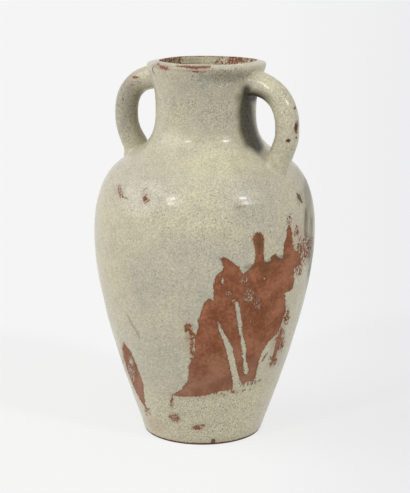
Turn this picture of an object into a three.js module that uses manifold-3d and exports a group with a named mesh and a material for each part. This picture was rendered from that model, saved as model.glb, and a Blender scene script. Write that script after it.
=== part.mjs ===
// A two-handled jar of glazed red earthenware in the old amphora shape, in millimetres, +Z up.
// The origin is the centre of the flat foot, and the handles stand along X, a little towards -Y.
// It is built the way a potter builds a jar of this size. Three thrown sections and a lip are
// stacked on keyed joints, and each handle is a clay rod set in slip, with a fillet of soft clay
// pressed round both of its roots.

import * as THREE from "three";
import { mergeVertices } from "three/addons/utils/BufferGeometryUtils.js";
import Module from "manifold-3d";

const wasm = await Module();
wasm.setup();

// Radii of the turned outline
const FOOT_RADIUS = 79;
const BELLY_RADIUS = 146.3;
const SHOULDER_RADIUS = 110.7;
const NECK_RADIUS = 65.5;
const NECK_FLARE = 9.7;

// Heights of the turned outline, each counted from the level below it
const BELLY_RISE = 274;
const SHOULDER_RISE = 94.6;
const NECK_RISE = 63.4;
const LIP_RISE = 57;
const LIP_HEIGHT = 11;

// Slopes of the outline, and how far each curve runs straight before it bends
const FOOT_FLARE_DEG = 13.7;
const SHOULDER_SLOPE_DEG = 34;
const FOOT_RUN = 35;
const FLANK_RUN = 100;
const BELLY_RUN = 74;
const SHOULDER_RUN_OUT = 6;
const SHOULDER_RUN_IN = 28;
const NECK_RUN = 42;
const NECK_RUN_UP = 26;
const COLLAR_RUN = 12;

// Walls
const WALL = 9;
const FLOOR = 13;
const COVE_RADIUS = 16;
const FOOT_BEVEL = 2.5;
const LIP_WIDTH = 14;
const LIP_EDGE_RADIUS = 3;
const LIP_ROLL_RADIUS = 9;
const LIP_TOP_ROUND = 4.5;

// Seams between the thrown sections, and the V-shaped key that centres one on the next
const BELLY_SEAM_DROP = 24;
const NECK_SEAM_DROP = 30;
const KEY_HALF_WIDTH = 2;
const KEY_DEPTH = 2.5;
const SLIP_GAP = 0.3;

// Handles: a rod that leaves the neck level, bows out and comes down on the shoulder
const HANDLE_THICKNESS = 29.4;
const HANDLE_WIDTH = 31;
const UPPER_ROOT_DROP = 13.5;
const UPPER_ROOT_SWELL = 5;
const UPPER_RUN = 43;
const BOW_RUN_UP = 18;
const ROOT_SINK = 50;
const HANDLE_SET_DEG = 2;
const SWELL_LENGTH = 50;

// The lower half of the right handle, which comes down in one easy sweep
const RIGHT_STANDOFF = 58;
const RIGHT_BOW_DROP = 53.5;
const RIGHT_BOW_RUN_DOWN = 19.5;
const RIGHT_LOWER_RUN = 43.2;
const RIGHT_ROOT_SETBACK = 2.5;
const RIGHT_ROOT_LEAN_DEG = 21.3;
const RIGHT_ROOT_SWELL = 2;

// The lower half of the left handle, which curls in under its bow and ends thicker
const LEFT_STANDOFF = 56.9;
const LEFT_BOW_DROP = 48.9;
const LEFT_BOW_RUN_DOWN = 34.8;
const LEFT_LOWER_RUN = 15.7;
const LEFT_ROOT_SETBACK = 5.6;
const LEFT_ROOT_LEAN_DEG = 0.4;
const LEFT_ROOT_SWELL = 4.5;

// Fillets round the handles' roots
const FILLET_SPREAD = 5;
const FILLET_REACH = 12;
const FILLET_EDGE = 1;
const FILLET_TUCK = 3;

// The jar leans a little, as a thrown jar does when it is lifted off the wheel
const LEAN_AT_LIP = 5;
const LEAN_TOWARDS_DEG = 31;

// Fineness of the surfaces
const TURNED_SIDES = 48;
const OUTER_ROW = 13;
const INNER_ROW = 26;
const HANDLE_SIDES = 18;
const HANDLE_RINGS = 28;
const FILLET_RINGS = 4;
const BEAD_STEPS = 6;
const CURVE_STEPS = 60;
const SEARCH_STEPS = 480;
const MERGE_TOLERANCE = 0.001;

// Levels worked out from the sizes above
const BELLY_HEIGHT = BELLY_RISE;
const SHOULDER_HEIGHT = BELLY_HEIGHT + SHOULDER_RISE;
const NECK_HEIGHT = SHOULDER_HEIGHT + NECK_RISE;
const LIP_BASE = NECK_HEIGHT + LIP_RISE;
const HEIGHT = LIP_BASE + LIP_HEIGHT;
const BELLY_SEAM = BELLY_HEIGHT - BELLY_SEAM_DROP;
const NECK_SEAM = NECK_HEIGHT - NECK_SEAM_DROP;
const NECK_TOP_RADIUS = NECK_RADIUS + NECK_FLARE;
const LIP_MIDDLE = LIP_BASE + LIP_HEIGHT / 2;
const LIP_ROLL_START = Math.asin(LIP_HEIGHT / 2 / LIP_ROLL_RADIUS);
const LIP_ROLL_CENTRE = NECK_TOP_RADIUS - LIP_ROLL_RADIUS * Math.cos(LIP_ROLL_START);
const LIP_RADIUS = LIP_ROLL_CENTRE + LIP_ROLL_RADIUS;

const point = (r, z) => new THREE.Vector2(r, z);
const radians = THREE.MathUtils.degToRad;
const shoulder = point(SHOULDER_RADIUS, SHOULDER_HEIGHT);
const upShoulder = point(
  -Math.cos(radians(SHOULDER_SLOPE_DEG)), Math.sin(radians(SHOULDER_SLOPE_DEG)));

// The outer face of the wall from the foot to the lip, as radius against height
function outerOutline() {
  const foot = point(FOOT_RADIUS, 0);
  const belly = point(BELLY_RADIUS, BELLY_HEIGHT);
  const neck = point(NECK_RADIUS, NECK_HEIGHT);
  const collar = point(NECK_TOP_RADIUS, LIP_BASE);
  const flare = radians(FOOT_FLARE_DEG);
  const upFoot = point(Math.sin(flare), Math.cos(flare));
  const upCollar = point(Math.sin(LIP_ROLL_START), Math.cos(LIP_ROLL_START));
  const along = (from, way, length) => from.clone().addScaledVector(way, length);
  const up = point(0, 1);
  const outline = new THREE.CurvePath();
  outline.add(new THREE.CubicBezierCurve(
    foot, along(foot, upFoot, FOOT_RUN), along(belly, up, -FLANK_RUN), belly));
  outline.add(new THREE.CubicBezierCurve(
    belly, along(belly, up, BELLY_RUN), along(shoulder, upShoulder, -SHOULDER_RUN_OUT), shoulder));
  outline.add(new THREE.CubicBezierCurve(
    shoulder, along(shoulder, upShoulder, SHOULDER_RUN_IN), along(neck, up, -NECK_RUN), neck));
  outline.add(new THREE.CubicBezierCurve(
    neck, along(neck, up, NECK_RUN_UP), along(collar, upCollar, -COLLAR_RUN), collar));
  return outline.getPoints(CURVE_STEPS);
}

// The same line moved square to itself, inwards for a positive distance
function offsetLine(line, distance) {
  return line.map((p, i) => {
    const before = line[Math.max(0, i - 1)];
    const after = line[Math.min(line.length - 1, i + 1)];
    const way = after.clone().sub(before).normalize();
    return point(p.x - way.y * distance, p.y + way.x * distance);
  });
}

function radiusAt(line, z) {
  const next = line.findIndex((p) => p.y >= z);
  const above = line[next < 0 ? line.length - 1 : Math.max(1, next)];
  const below = line[line.indexOf(above) - 1];
  return THREE.MathUtils.mapLinear(z, below.y, above.y, below.x, above.x);
}

const outerWall = outerOutline();
const innerWall = offsetLine(outerWall, WALL);

// A stretch of one face of the wall, upwards, in rows about a spacing apart along the curve
function faceRows(line, low, high, spacing) {
  const between = line.filter((p) => p.y > low && p.y < high);
  const stretch = new THREE.CurvePath();
  const ends = [point(radiusAt(line, low), low), point(radiusAt(line, high), high)];
  const corners = [ends[0], ...between, ends[1]];
  for (let i = 1; i < corners.length; i += 1) {
    stretch.add(new THREE.LineCurve(corners[i - 1], corners[i]));
  }
  const rows = Math.ceil(stretch.getLength() / spacing);
  return Array.from({ length: rows + 1 }, (_, i) => stretch.getPointAt(i / rows));
}

const outerRows = (low, high) => faceRows(outerWall, low, high, OUTER_ROW);
const innerRowsDown = (low, high) => faceRows(innerWall, low, high, INNER_ROW).reverse();

// The V of a seam, from the outside inwards: a groove, or with a clearance the tongue that fits it
function seamKey(z, clearance) {
  const middle = (radiusAt(outerWall, z) + radiusAt(innerWall, z)) / 2;
  const slack = clearance * Math.hypot(KEY_HALF_WIDTH, KEY_DEPTH);
  const half = KEY_HALF_WIDTH - slack / KEY_DEPTH;
  const depth = KEY_DEPTH - slack / KEY_HALF_WIDTH;
  return [point(middle + half, z), point(middle, z - depth), point(middle - half, z)];
}

function turned(profile) {
  return new THREE.LatheGeometry(profile, TURNED_SIDES).rotateX(Math.PI / 2);
}

// Floor, foot and the lower half of the belly, thrown in one
function lowerBody() {
  const coveTop = FLOOR + COVE_RADIUS;
  const coveCentre = radiusAt(innerWall, coveTop) - COVE_RADIUS;
  const cove = Array.from({ length: BEAD_STEPS }, (_, i) => {
    const turn = (Math.PI / 2) * ((i + 1) / BEAD_STEPS);
    return point(coveCentre + COVE_RADIUS * Math.cos(turn), coveTop - COVE_RADIUS * Math.sin(turn));
  });
  return turned([
    point(0, 0),
    point(radiusAt(outerWall, FOOT_BEVEL) - FOOT_BEVEL, 0),
    ...outerRows(FOOT_BEVEL, BELLY_SEAM),
    ...seamKey(BELLY_SEAM, 0),
    ...innerRowsDown(coveTop, BELLY_SEAM),
    ...cove,
    point(0, FLOOR),
  ]);
}

// A ring of wall between two seams, with a tongue below and a groove above
function wallSection(low, high) {
  const outer = outerRows(low, high);
  return turned([
    ...outer,
    ...seamKey(high, 0),
    ...innerRowsDown(low, high),
    ...seamKey(low, SLIP_GAP).reverse(),
    outer[0],
  ]);
}

// The outer edge of the lip, upwards: it rolls on from the neck's flare and rounds over on top
function lipRoll(grow) {
  const under = Array.from({ length: BEAD_STEPS }, (_, i) => {
    const turn = LIP_ROLL_START * (i / BEAD_STEPS - 1);
    const radius = LIP_ROLL_RADIUS + grow;
    return point(LIP_ROLL_CENTRE + radius * Math.cos(turn), LIP_MIDDLE + radius * Math.sin(turn));
  });
  const over = Array.from({ length: BEAD_STEPS + 1 }, (_, i) => {
    const turn = (Math.PI / 2) * (i / BEAD_STEPS);
    return point(
      LIP_RADIUS - LIP_TOP_ROUND + (LIP_TOP_ROUND + grow) * Math.cos(turn),
      LIP_MIDDLE + (LIP_HEIGHT / 2 + grow) * Math.sin(turn),
    );
  });
  return [...under, ...over];
}

function lip() {
  const roll = lipRoll(0);
  const mouth = LIP_RADIUS - LIP_WIDTH;
  const throat = radiusAt(innerWall, LIP_BASE);
  return turned([
    ...roll,
    point(mouth + LIP_EDGE_RADIUS, HEIGHT),
    point(mouth, HEIGHT - LIP_EDGE_RADIUS),
    point(throat, LIP_BASE),
    ...seamKey(LIP_BASE, SLIP_GAP).reverse(),
    roll[0],
  ]);
}

// A closed skin over a row of rings that have the same number of points
function loft(rings) {
  const sides = rings[0].length;
  const ends = [rings[0], rings[rings.length - 1]].map((ring) =>
    ring.reduce((sum, p) => sum.add(p), new THREE.Vector3()).divideScalar(sides));
  const points = [...rings.flat(), ...ends];
  const index = [];
  for (let side = 0; side < sides; side += 1) {
    const next = (side + 1) % sides;
    for (let ring = 0; ring < rings.length - 1; ring += 1) {
      const here = ring * sides;
      const there = here + sides;
      index.push(here + side, here + next, there + side, here + next, there + next, there + side);
    }
    const last = (rings.length - 1) * sides;
    index.push(rings.length * sides, next, side);
    index.push(rings.length * sides + 1, last + side, last + next);
  }
  return new THREE.BufferGeometry().setFromPoints(points).setIndex(index);
}

// The middle line of a handle in its own upright plane, as radius against height
function handleSpine(shape) {
  const upperRoot = LIP_BASE - UPPER_ROOT_DROP;
  const start = point(radiusAt(outerWall, upperRoot) - WALL, upperRoot);
  const bow = point(NECK_RADIUS + shape.standoff, upperRoot - shape.bowDrop);
  const upLower = point(Math.sin(radians(shape.rootLean)), Math.cos(radians(shape.rootLean)));
  const lowerRoot = shoulder.clone().addScaledVector(upShoulder, shape.rootSetback);
  const path = new THREE.CurvePath();
  path.add(new THREE.CubicBezierCurve(
    start, point(start.x + WALL + UPPER_RUN, start.y), point(bow.x, bow.y + BOW_RUN_UP), bow));
  path.add(new THREE.CubicBezierCurve(
    bow, point(bow.x, bow.y - shape.bowRunDown),
    lowerRoot.clone().addScaledVector(upLower, shape.lowerRun), lowerRoot));
  path.add(new THREE.LineCurve(
    lowerRoot, lowerRoot.clone().addScaledVector(upLower, -ROOT_SINK)));
  return path;
}

const rightShape = {
  standoff: RIGHT_STANDOFF,
  bowDrop: RIGHT_BOW_DROP,
  bowRunDown: RIGHT_BOW_RUN_DOWN,
  lowerRun: RIGHT_LOWER_RUN,
  rootSetback: RIGHT_ROOT_SETBACK,
  rootLean: RIGHT_ROOT_LEAN_DEG,
  rootSwell: RIGHT_ROOT_SWELL,
};
const leftShape = {
  standoff: LEFT_STANDOFF,
  bowDrop: LEFT_BOW_DROP,
  bowRunDown: LEFT_BOW_RUN_DOWN,
  lowerRun: LEFT_LOWER_RUN,
  rootSetback: LEFT_ROOT_SETBACK,
  rootLean: LEFT_ROOT_LEAN_DEG,
  rootSwell: LEFT_ROOT_SWELL,
};
const rightHandle = { swell: rightShape.rootSwell, spine: handleSpine(rightShape) };
const leftHandle = { swell: leftShape.rootSwell, spine: handleSpine(leftShape) };

// How much thicker the rod is at a share of the way along it: most at its two roots
function rootSwell(handle, share) {
  const length = handle.spine.getLength();
  const fromUpper = share * length;
  const fromLower = Math.max(0, (1 - share) * length - ROOT_SINK);
  const nearUpper = Math.max(0, 1 - fromUpper / SWELL_LENGTH);
  const nearLower = Math.max(0, 1 - fromLower / SWELL_LENGTH);
  return (UPPER_ROOT_SWELL * nearUpper ** 2 + handle.swell * nearLower ** 2) / 2;
}

// A point on the rod's oval skin, grown square to the spine
function rodPoint(handle, share, turn, grow) {
  const middle = handle.spine.getPointAt(share);
  const way = handle.spine.getTangentAt(share);
  const swell = rootSwell(handle, share);
  const out = (HANDLE_THICKNESS / 2 + swell + grow) * Math.cos(turn);
  const aside = (HANDLE_WIDTH / 2 + swell + grow) * Math.sin(turn);
  return new THREE.Vector3(middle.x + way.y * out, aside, middle.y - way.x * out);
}

// One ring of points round the rod, each made by a function of its turn
function ringOf(pointAt) {
  return Array.from({ length: HANDLE_SIDES }, (_, i) => pointAt((2 * Math.PI * i) / HANDLE_SIDES));
}

function rod(handle, grow) {
  return loft(Array.from({ length: HANDLE_RINGS + 1 }, (_, i) =>
    ringOf((turn) => rodPoint(handle, i / HANDLE_RINGS, turn, grow))));
}

// How far a point stands out of the wall, square to it, and negative inside the wall
function standOut(p) {
  const radius = radiusAt(outerWall, p.z);
  const slope = radiusAt(outerWall, p.z + 1) - radius;
  return (Math.hypot(p.x, p.y) - radius) / Math.hypot(1, slope);
}

// Where one side line of the grown rod comes a distance out of the wall, searched from one end
function pointOut(handle, fromLower, turn, grow, distance) {
  for (let i = 0; i <= SEARCH_STEPS; i += 1) {
    const share = fromLower ? 1 - i / SEARCH_STEPS : i / SEARCH_STEPS;
    const p = rodPoint(handle, share, turn, grow);
    if (standOut(p) > distance) return p;
  }
  throw new Error("the handle never leaves the wall");
}

// The soft clay round one root: a hollow curve from a wide edge on the wall to a thin one on the rod
function flare(handle, fromLower) {
  const ringAt = (grow, distance) =>
    ringOf((turn) => pointOut(handle, fromLower, turn, grow, distance));
  const curve = Array.from({ length: FILLET_RINGS + 1 }, (_, i) => {
    const turn = (Math.PI / 2) * (i / FILLET_RINGS);
    return ringAt(
      FILLET_SPREAD - (FILLET_SPREAD - FILLET_EDGE) * Math.sin(turn),
      FILLET_REACH - (FILLET_REACH - FILLET_EDGE) * Math.cos(turn),
    );
  });
  const rings = [ringAt(FILLET_SPREAD, -FILLET_TUCK), ...curve, ringAt(-FILLET_EDGE, FILLET_REACH)];
  return loft(fromLower ? rings.reverse() : rings);
}

function solid(geometry) {
  const bare = new THREE.BufferGeometry();
  bare.setAttribute("position", geometry.getAttribute("position"));
  bare.setIndex(geometry.getIndex());
  const merged = mergeVertices(bare, MERGE_TOLERANCE);
  return new wasm.Manifold(new wasm.Mesh({
    numProp: 3,
    vertProperties: merged.getAttribute("position").array,
    triVerts: new Uint32Array(merged.getIndex().array),
  }));
}

// The main body of a cut, without the crumbs that a feathered edge can leave beside it
function mainBody(cut) {
  return cut.decompose().reduce((most, part) => (part.volume() > most.volume() ? part : most));
}

function geometryOf(body) {
  const mesh = mainBody(body).getMesh();
  const geometry = new THREE.BufferGeometry();
  geometry.setAttribute("position", new THREE.BufferAttribute(mesh.vertProperties, 3));
  geometry.setIndex(new THREE.BufferAttribute(mesh.triVerts, 1));
  geometry.computeVertexNormals();
  return geometry;
}

// The whole jar without handles, grown by the thickness of the slip, to cut the roots against
function jarCutter() {
  const rows = [
    ...outerRows(FOOT_BEVEL, BELLY_SEAM),
    ...outerRows(BELLY_SEAM, NECK_SEAM).slice(1),
    ...outerRows(NECK_SEAM, LIP_BASE).slice(1),
  ];
  const wall = offsetLine(rows, -SLIP_GAP).filter((p) => p.y > 0 && p.y < LIP_BASE - SLIP_GAP);
  return solid(turned([
    point(0, 0),
    point(wall[0].x, 0),
    ...wall,
    ...lipRoll(SLIP_GAP),
    point(0, HEIGHT + SLIP_GAP),
  ]));
}

// Everything above the lip's underside, which the upper fillets stay below
function lipCutter() {
  const base = LIP_BASE - SLIP_GAP;
  const reach = BELLY_RADIUS;
  return solid(turned([
    point(0, base), point(reach, base), point(reach, HEIGHT + WALL), point(0, HEIGHT + WALL),
  ]));
}

const glaze = new THREE.MeshStandardMaterial({ color: 0xbdbaa2, roughness: 0.35, metalness: 0 });

// A named piece, leaned over with the rest of the jar
function piece(name, geometry) {
  const towards = radians(LEAN_TOWARDS_DEG);
  const perHeight = LEAN_AT_LIP / HEIGHT;
  const lean = new THREE.Matrix4().makeShear(
    0, 0, 0, 0, perHeight * Math.cos(towards), perHeight * Math.sin(towards));
  const mesh = new THREE.Mesh(geometry.applyMatrix4(lean), glaze.clone());
  mesh.name = name;
  return mesh;
}

// One handle and the fillets round its two roots, turned to its place and cut to the jar
function handleSet(side, handle, azimuth, jar) {
  const placed = (geometry) => solid(geometry.rotateZ(azimuth));
  const bed = jar.add(placed(rod(handle, SLIP_GAP)));
  const upperBed = bed.add(lipCutter());
  const upperFillet = placed(flare(handle, false)).subtract(upperBed);
  const lowerFillet = placed(flare(handle, true)).subtract(bed);
  return [
    piece(`${side}_handle`, geometryOf(placed(rod(handle, 0)).subtract(jar))),
    piece(`${side}_handle_upper_fillet`, geometryOf(upperFillet)),
    piece(`${side}_handle_lower_fillet`, geometryOf(lowerFillet)),
  ];
}

function amphora() {
  const jar = jarCutter();
  const set = radians(HANDLE_SET_DEG);
  const group = new THREE.Group();
  group.name = "amphora_vase";
  group.add(
    piece("lower_body", lowerBody()),
    piece("shoulder_section", wallSection(BELLY_SEAM, NECK_SEAM)),
    piece("neck_section", wallSection(NECK_SEAM, LIP_BASE)),
    piece("lip_ring", lip()),
    ...handleSet("right", rightHandle, -set, jar),
    ...handleSet("left", leftHandle, Math.PI + set, jar),
  );
  return group;
}

export default amphora();
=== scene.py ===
# The looks of a two-handled jar of red earthenware under a worn crackle glaze.
# Lengths are in metres unless a name ends in _MM. +Z is up, the handles stand along X,
# and the worn side faces -Y, a little towards +X.

import itertools
import math

import bpy
import numpy as np
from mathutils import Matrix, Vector


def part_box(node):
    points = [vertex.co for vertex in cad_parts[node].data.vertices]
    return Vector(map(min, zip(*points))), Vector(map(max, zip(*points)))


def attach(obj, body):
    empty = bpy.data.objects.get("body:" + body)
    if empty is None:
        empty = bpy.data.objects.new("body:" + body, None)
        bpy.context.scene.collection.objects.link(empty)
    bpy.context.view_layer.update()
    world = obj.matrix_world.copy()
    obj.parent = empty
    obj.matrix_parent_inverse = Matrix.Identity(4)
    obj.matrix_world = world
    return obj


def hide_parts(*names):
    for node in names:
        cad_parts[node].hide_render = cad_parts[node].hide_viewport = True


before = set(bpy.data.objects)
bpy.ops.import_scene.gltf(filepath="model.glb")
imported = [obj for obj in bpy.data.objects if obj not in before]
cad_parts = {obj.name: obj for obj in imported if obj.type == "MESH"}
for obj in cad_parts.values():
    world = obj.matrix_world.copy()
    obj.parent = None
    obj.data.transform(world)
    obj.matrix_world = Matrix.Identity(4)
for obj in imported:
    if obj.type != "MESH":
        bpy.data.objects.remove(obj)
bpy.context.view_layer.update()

# Camera
# The photograph was taken from about four times the jar's height away, a little above its lip,
# with the pair of handles turned by a third of a right angle.
VIEW_TURN = math.radians(31)
VIEW_PITCH = math.radians(12.94)
VIEW_DISTANCE = 1.953
VIEW_HEIGHT = 0.700
VIEW_ASIDE = 0.00315
FOCAL_PIXELS = 1500
PICTURE_HEIGHT_PIXELS = 493
SENSOR_MM = 36

to_right = np.array([math.cos(VIEW_TURN), math.sin(VIEW_TURN), 0])
to_viewer = np.array([math.sin(VIEW_TURN), -math.cos(VIEW_TURN), 0])
eye = to_right * VIEW_ASIDE + to_viewer * VIEW_DISTANCE
camera_data = bpy.data.cameras.new("Camera")
camera_data.sensor_fit = "VERTICAL"
camera_data.sensor_height = SENSOR_MM
camera_data.lens = FOCAL_PIXELS / PICTURE_HEIGHT_PIXELS * SENSOR_MM
camera_data.clip_end = 100
camera = bpy.data.objects.new("Camera", camera_data)
camera.location = (eye[0], eye[1], VIEW_HEIGHT)
camera.rotation_euler = (math.pi / 2 - VIEW_PITCH, 0, VIEW_TURN)
bpy.context.collection.objects.link(camera)
bpy.context.scene.camera = camera
bpy.context.scene.view_settings.view_transform = "Standard"

# Lower body
# The first thrown section: a flat wire-cut foot, a thick floor and a wall of red clay that opens
# to the belly. The glaze was poured over the outside and has worn off in one large patch.
FOOT_RADIUS = 0.079
BELLY_RADIUS = 0.1463
BELLY_HEIGHT = 0.274
SHOULDER_RADIUS = 0.1107
SHOULDER_HEIGHT = 0.3686
NECK_RADIUS = 0.0655
NECK_HEIGHT = 0.432
NECK_FLARE = 0.0105
COLLAR_SLOPE = math.radians(22)
FOOT_FLARE = math.radians(13.7)
SHOULDER_SLOPE = math.radians(34)
WALL = 0.009
FLOOR = 0.013
NECK_THICKENING = 0.0045
NECK_THICKENING_HEIGHT = 0.034
COVE_RADIUS = 0.016
COVE_ROWS = 8
FOOT_BEVEL = 0.0025
FOOT_BEVEL_ROWS = 5
BELLY_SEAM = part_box("lower_body")[1][2]
NECK_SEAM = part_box("shoulder_section")[1][2]
LIP_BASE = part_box("neck_section")[1][2]
LIP_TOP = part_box("lip_ring")[1][2]
LIP_ROLL_RADIUS = (LIP_TOP - LIP_BASE) / 2 / math.sin(COLLAR_SLOPE)
LEAN_AT_LIP = 0.005
LIP_TILT = 0.001
CURVE_POINTS = 160

# How far each curve of the outline keeps its direction at its two ends
FOOT_PULL = 0.035
BELLY_PULL_DOWN = 0.1
BELLY_PULL_UP = 0.074
SHOULDER_PULL_DOWN = 0.006
SHOULDER_PULL_UP = 0.028
NECK_PULL_DOWN = 0.042
NECK_PULL_UP = 0.026
COLLAR_PULL = 0.022

# How finely the walls are meshed
SIDES = 448
CLOSER_IN_FRONT = 0.3
OUTER_ROW = 0.0017
INNER_ROW = 0.012
SEAM_ROW = 0.0003


def curve_through(start, leave, arrive, end, count=CURVE_POINTS):
    """Points of a smooth curve between two places, or of a whole row of such curves at once."""
    corners = [np.array(p, float) for p in (start, leave, arrive, end)]
    share = np.linspace(0, 1, count).reshape((-1,) + (1,) * corners[0].ndim)
    rest = 1 - share
    weights = (rest**3, 3 * rest**2 * share, 3 * rest * share**2, share**3)
    return sum(weight * corner for weight, corner in zip(weights, corners))


def arc(middle, radius, start, end, count):
    """Points round a middle, where an oval has a radius across and one up."""
    turns = np.linspace(start, end, count)
    return np.array(middle) + np.array(radius) * np.stack([np.cos(turns), np.sin(turns)], axis=1)


def outer_outline():
    foot = np.array([FOOT_RADIUS, 0])
    shoulder = np.array([SHOULDER_RADIUS, SHOULDER_HEIGHT])
    collar = np.array([NECK_RADIUS + NECK_FLARE, LIP_BASE])
    belly = np.array([BELLY_RADIUS, BELLY_HEIGHT])
    neck = np.array([NECK_RADIUS, NECK_HEIGHT])
    up_foot = np.array([math.sin(FOOT_FLARE), math.cos(FOOT_FLARE)])
    up_shoulder = np.array([-math.cos(SHOULDER_SLOPE), math.sin(SHOULDER_SLOPE)])
    up_collar = np.array([math.sin(COLLAR_SLOPE), math.cos(COLLAR_SLOPE)])
    up = np.array([0, 1])
    flank = curve_through(foot, foot + FOOT_PULL * up_foot, belly - BELLY_PULL_DOWN * up, belly)
    crown = curve_through(
        belly, belly + BELLY_PULL_UP * up, shoulder - SHOULDER_PULL_DOWN * up_shoulder, shoulder)
    throat = curve_through(
        shoulder, shoulder + SHOULDER_PULL_UP * up_shoulder, neck - NECK_PULL_DOWN * up, neck)
    top = curve_through(neck, neck + NECK_PULL_UP * up, collar - COLLAR_PULL * up_collar, collar)
    return np.vstack([flank, crown[1:], throat[1:], top[1:]])


outer_line = outer_outline()
outer_way = np.gradient(outer_line, axis=0)
outer_way /= np.linalg.norm(outer_way, axis=1)[:, None]
thicker = np.clip(1 - (LIP_BASE - outer_line[:, 1]) / NECK_THICKENING_HEIGHT, 0, 1)
wall_thickness = WALL + NECK_THICKENING * thicker**2 * (3 - 2 * thicker)
inward = np.stack([-outer_way[:, 1], outer_way[:, 0]], axis=1)
inner_line = outer_line + wall_thickness[:, None] * inward


def along_line(places, lengths, line):
    return np.stack([np.interp(places, lengths, line[:, i]) for i in range(2)], axis=-1)


def rows_between(line, low, high, spacing):
    """Evenly spaced rows of one face of the wall, upwards, with a close row at each seam."""
    inside = line[(line[:, 1] > low) & (line[:, 1] < high)]
    ends = [[np.interp(z, line[:, 1], line[:, 0]), z] for z in (low, high)]
    path = np.vstack([ends[:1], inside, ends[1:]])
    length = np.concatenate([[0], np.cumsum(np.linalg.norm(np.diff(path, axis=0), axis=1))])
    places = np.linspace(0, length[-1], math.ceil(length[-1] / spacing) + 1)
    places = np.insert(places, [1, len(places) - 1], [SEAM_ROW, length[-1] - SEAM_ROW])
    return along_line(places, length, path)


def ringed_mesh(name, points, sizes, sharp, inside, closed, materials, flipped=False):
    """Rings of points with a face between each two neighbours, where one point closes an end.

    A ring may be sharp. The faces above a ring that is inside have the second material.
    """
    starts = [0, *itertools.accumulate(sizes)]
    rings = [list(range(start, start + size)) for start, size in zip(starts, sizes)]
    count = max(sizes)
    faces = []
    face_materials = []
    for row, low in enumerate(rings if closed else rings[:-1]):
        high = rings[(row + 1) % len(rings)]
        for k in range(count):
            following = (k + 1) % count
            if len(low) == 1:
                face = (low[0], high[following], high[k])
            elif len(high) == 1:
                face = (low[k], low[following], high[0])
            else:
                face = (low[k], low[following], high[following], high[k])
            faces.append(face[::-1] if flipped else face)
        face_materials.extend([int(inside[row])] * count)
    mesh = bpy.data.meshes.new(name)
    mesh.from_pydata(points.tolist(), [], faces)
    for material in materials:
        mesh.materials.append(material)
    mesh.polygons.foreach_set("material_index", face_materials)
    mesh.shade_smooth()
    ends = np.empty(len(mesh.edges) * 2, int)
    mesh.edges.foreach_get("vertices", ends)
    rows = np.repeat(np.arange(len(rings)), sizes)[ends.reshape(-1, 2)]
    sharp_edges = (rows[:, 0] == rows[:, 1]) & np.array(sharp)[rows[:, 0]]
    mesh.attributes.new("sharp_edge", "BOOLEAN", "EDGE").data.foreach_set("value", sharp_edges)
    return mesh


# The sides lie closer together on the worn side, where there is most to show
front_turn = math.atan2(to_viewer[1], to_viewer[0])
even_turns = np.linspace(-math.pi, math.pi, SIDES, endpoint=False)
side_turns = front_turn + even_turns - CLOSER_IN_FRONT * np.sin(even_turns)


def turned(name, profile, sharp, inside, closed, materials):
    """A profile of (radius, height) rows turned about the axis, where radius 0 is one point."""
    sizes = [SIDES if radius > 0 else 1 for radius, height in profile]
    across = np.repeat(profile[:, 0], sizes)
    turns = np.concatenate([side_turns[:size] for size in sizes])
    points = np.stack(
        [across * np.cos(turns), across * np.sin(turns), np.repeat(profile[:, 1], sizes)], axis=1)
    return ringed_mesh(name, points, sizes, sharp, inside, closed, materials)


# What the hand and the kiln did to the shape: the lean, a slow wobble, throwing rings and the
# thickness of the glaze, each worked out from where a point is, so that the pieces still meet.
WOBBLE = 0.0003
WOBBLE_FROM_HEIGHT = 0.03
WOBBLE_FROM_RADIUS = 0.05
OVAL_TWIST = 0.09
THREEFOLD_TWIST = 0.06
THREEFOLD_SHARE = 0.6
RING_HEIGHT = 0.00007
RING_SPACING = 0.0085
RING_DRIFTS = ((1.5, 0.05), (0.8, 0.021))
LUMP_COUNT = 28
LUMP_LENGTHS = (0.018, 0.06)
LUMP_HEIGHT = 0.00014
GLAZE_THICKNESS = 0.0004
SOFT_EDGE_MM = 1.2

wave_dice = np.random.default_rng(7)
lump_waves = wave_dice.normal(size=(LUMP_COUNT, 3))
lump_waves /= np.linalg.norm(lump_waves, axis=1)[:, None]
lump_waves *= 2 * math.pi / wave_dice.uniform(*LUMP_LENGTHS, size=(LUMP_COUNT, 1))
lump_phases = wave_dice.uniform(0, 2 * math.pi, size=LUMP_COUNT)


def leaned(points):
    """The thrown shape as it came off the wheel, a little out of true and out of round."""
    moved = points.copy()
    height = points[:, 2]
    angle = np.arctan2(points[:, 1], points[:, 0])
    away = np.stack([np.cos(angle), np.sin(angle)], axis=1)
    radius = np.hypot(points[:, 0], points[:, 1])
    fade = np.clip(height / WOBBLE_FROM_HEIGHT, 0, 1) * np.clip(radius / WOBBLE_FROM_RADIUS, 0, 1)
    wobble = np.sin(2 * angle + height / OVAL_TWIST)
    wobble += THREEFOLD_SHARE * np.sin(3 * angle - height / THREEFOLD_TWIST + 1)
    moved[:, :2] += away * (WOBBLE * fade * wobble)[:, None]
    rise = np.clip((height - LIP_BASE) / (LIP_TOP - LIP_BASE), 0, 1)
    moved[:, 2] += WOBBLE * rise * (np.sin(3 * angle + 0.5) + 0.5 * np.sin(5 * angle) - 1)
    moved[:, 2] += LIP_TILT * rise * (points @ to_viewer / (NECK_RADIUS + NECK_FLARE) - 0.2)
    moved[:, :2] += to_right[:2] * (LEAN_AT_LIP * height / LIP_TOP)[:, None]
    return moved


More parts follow.
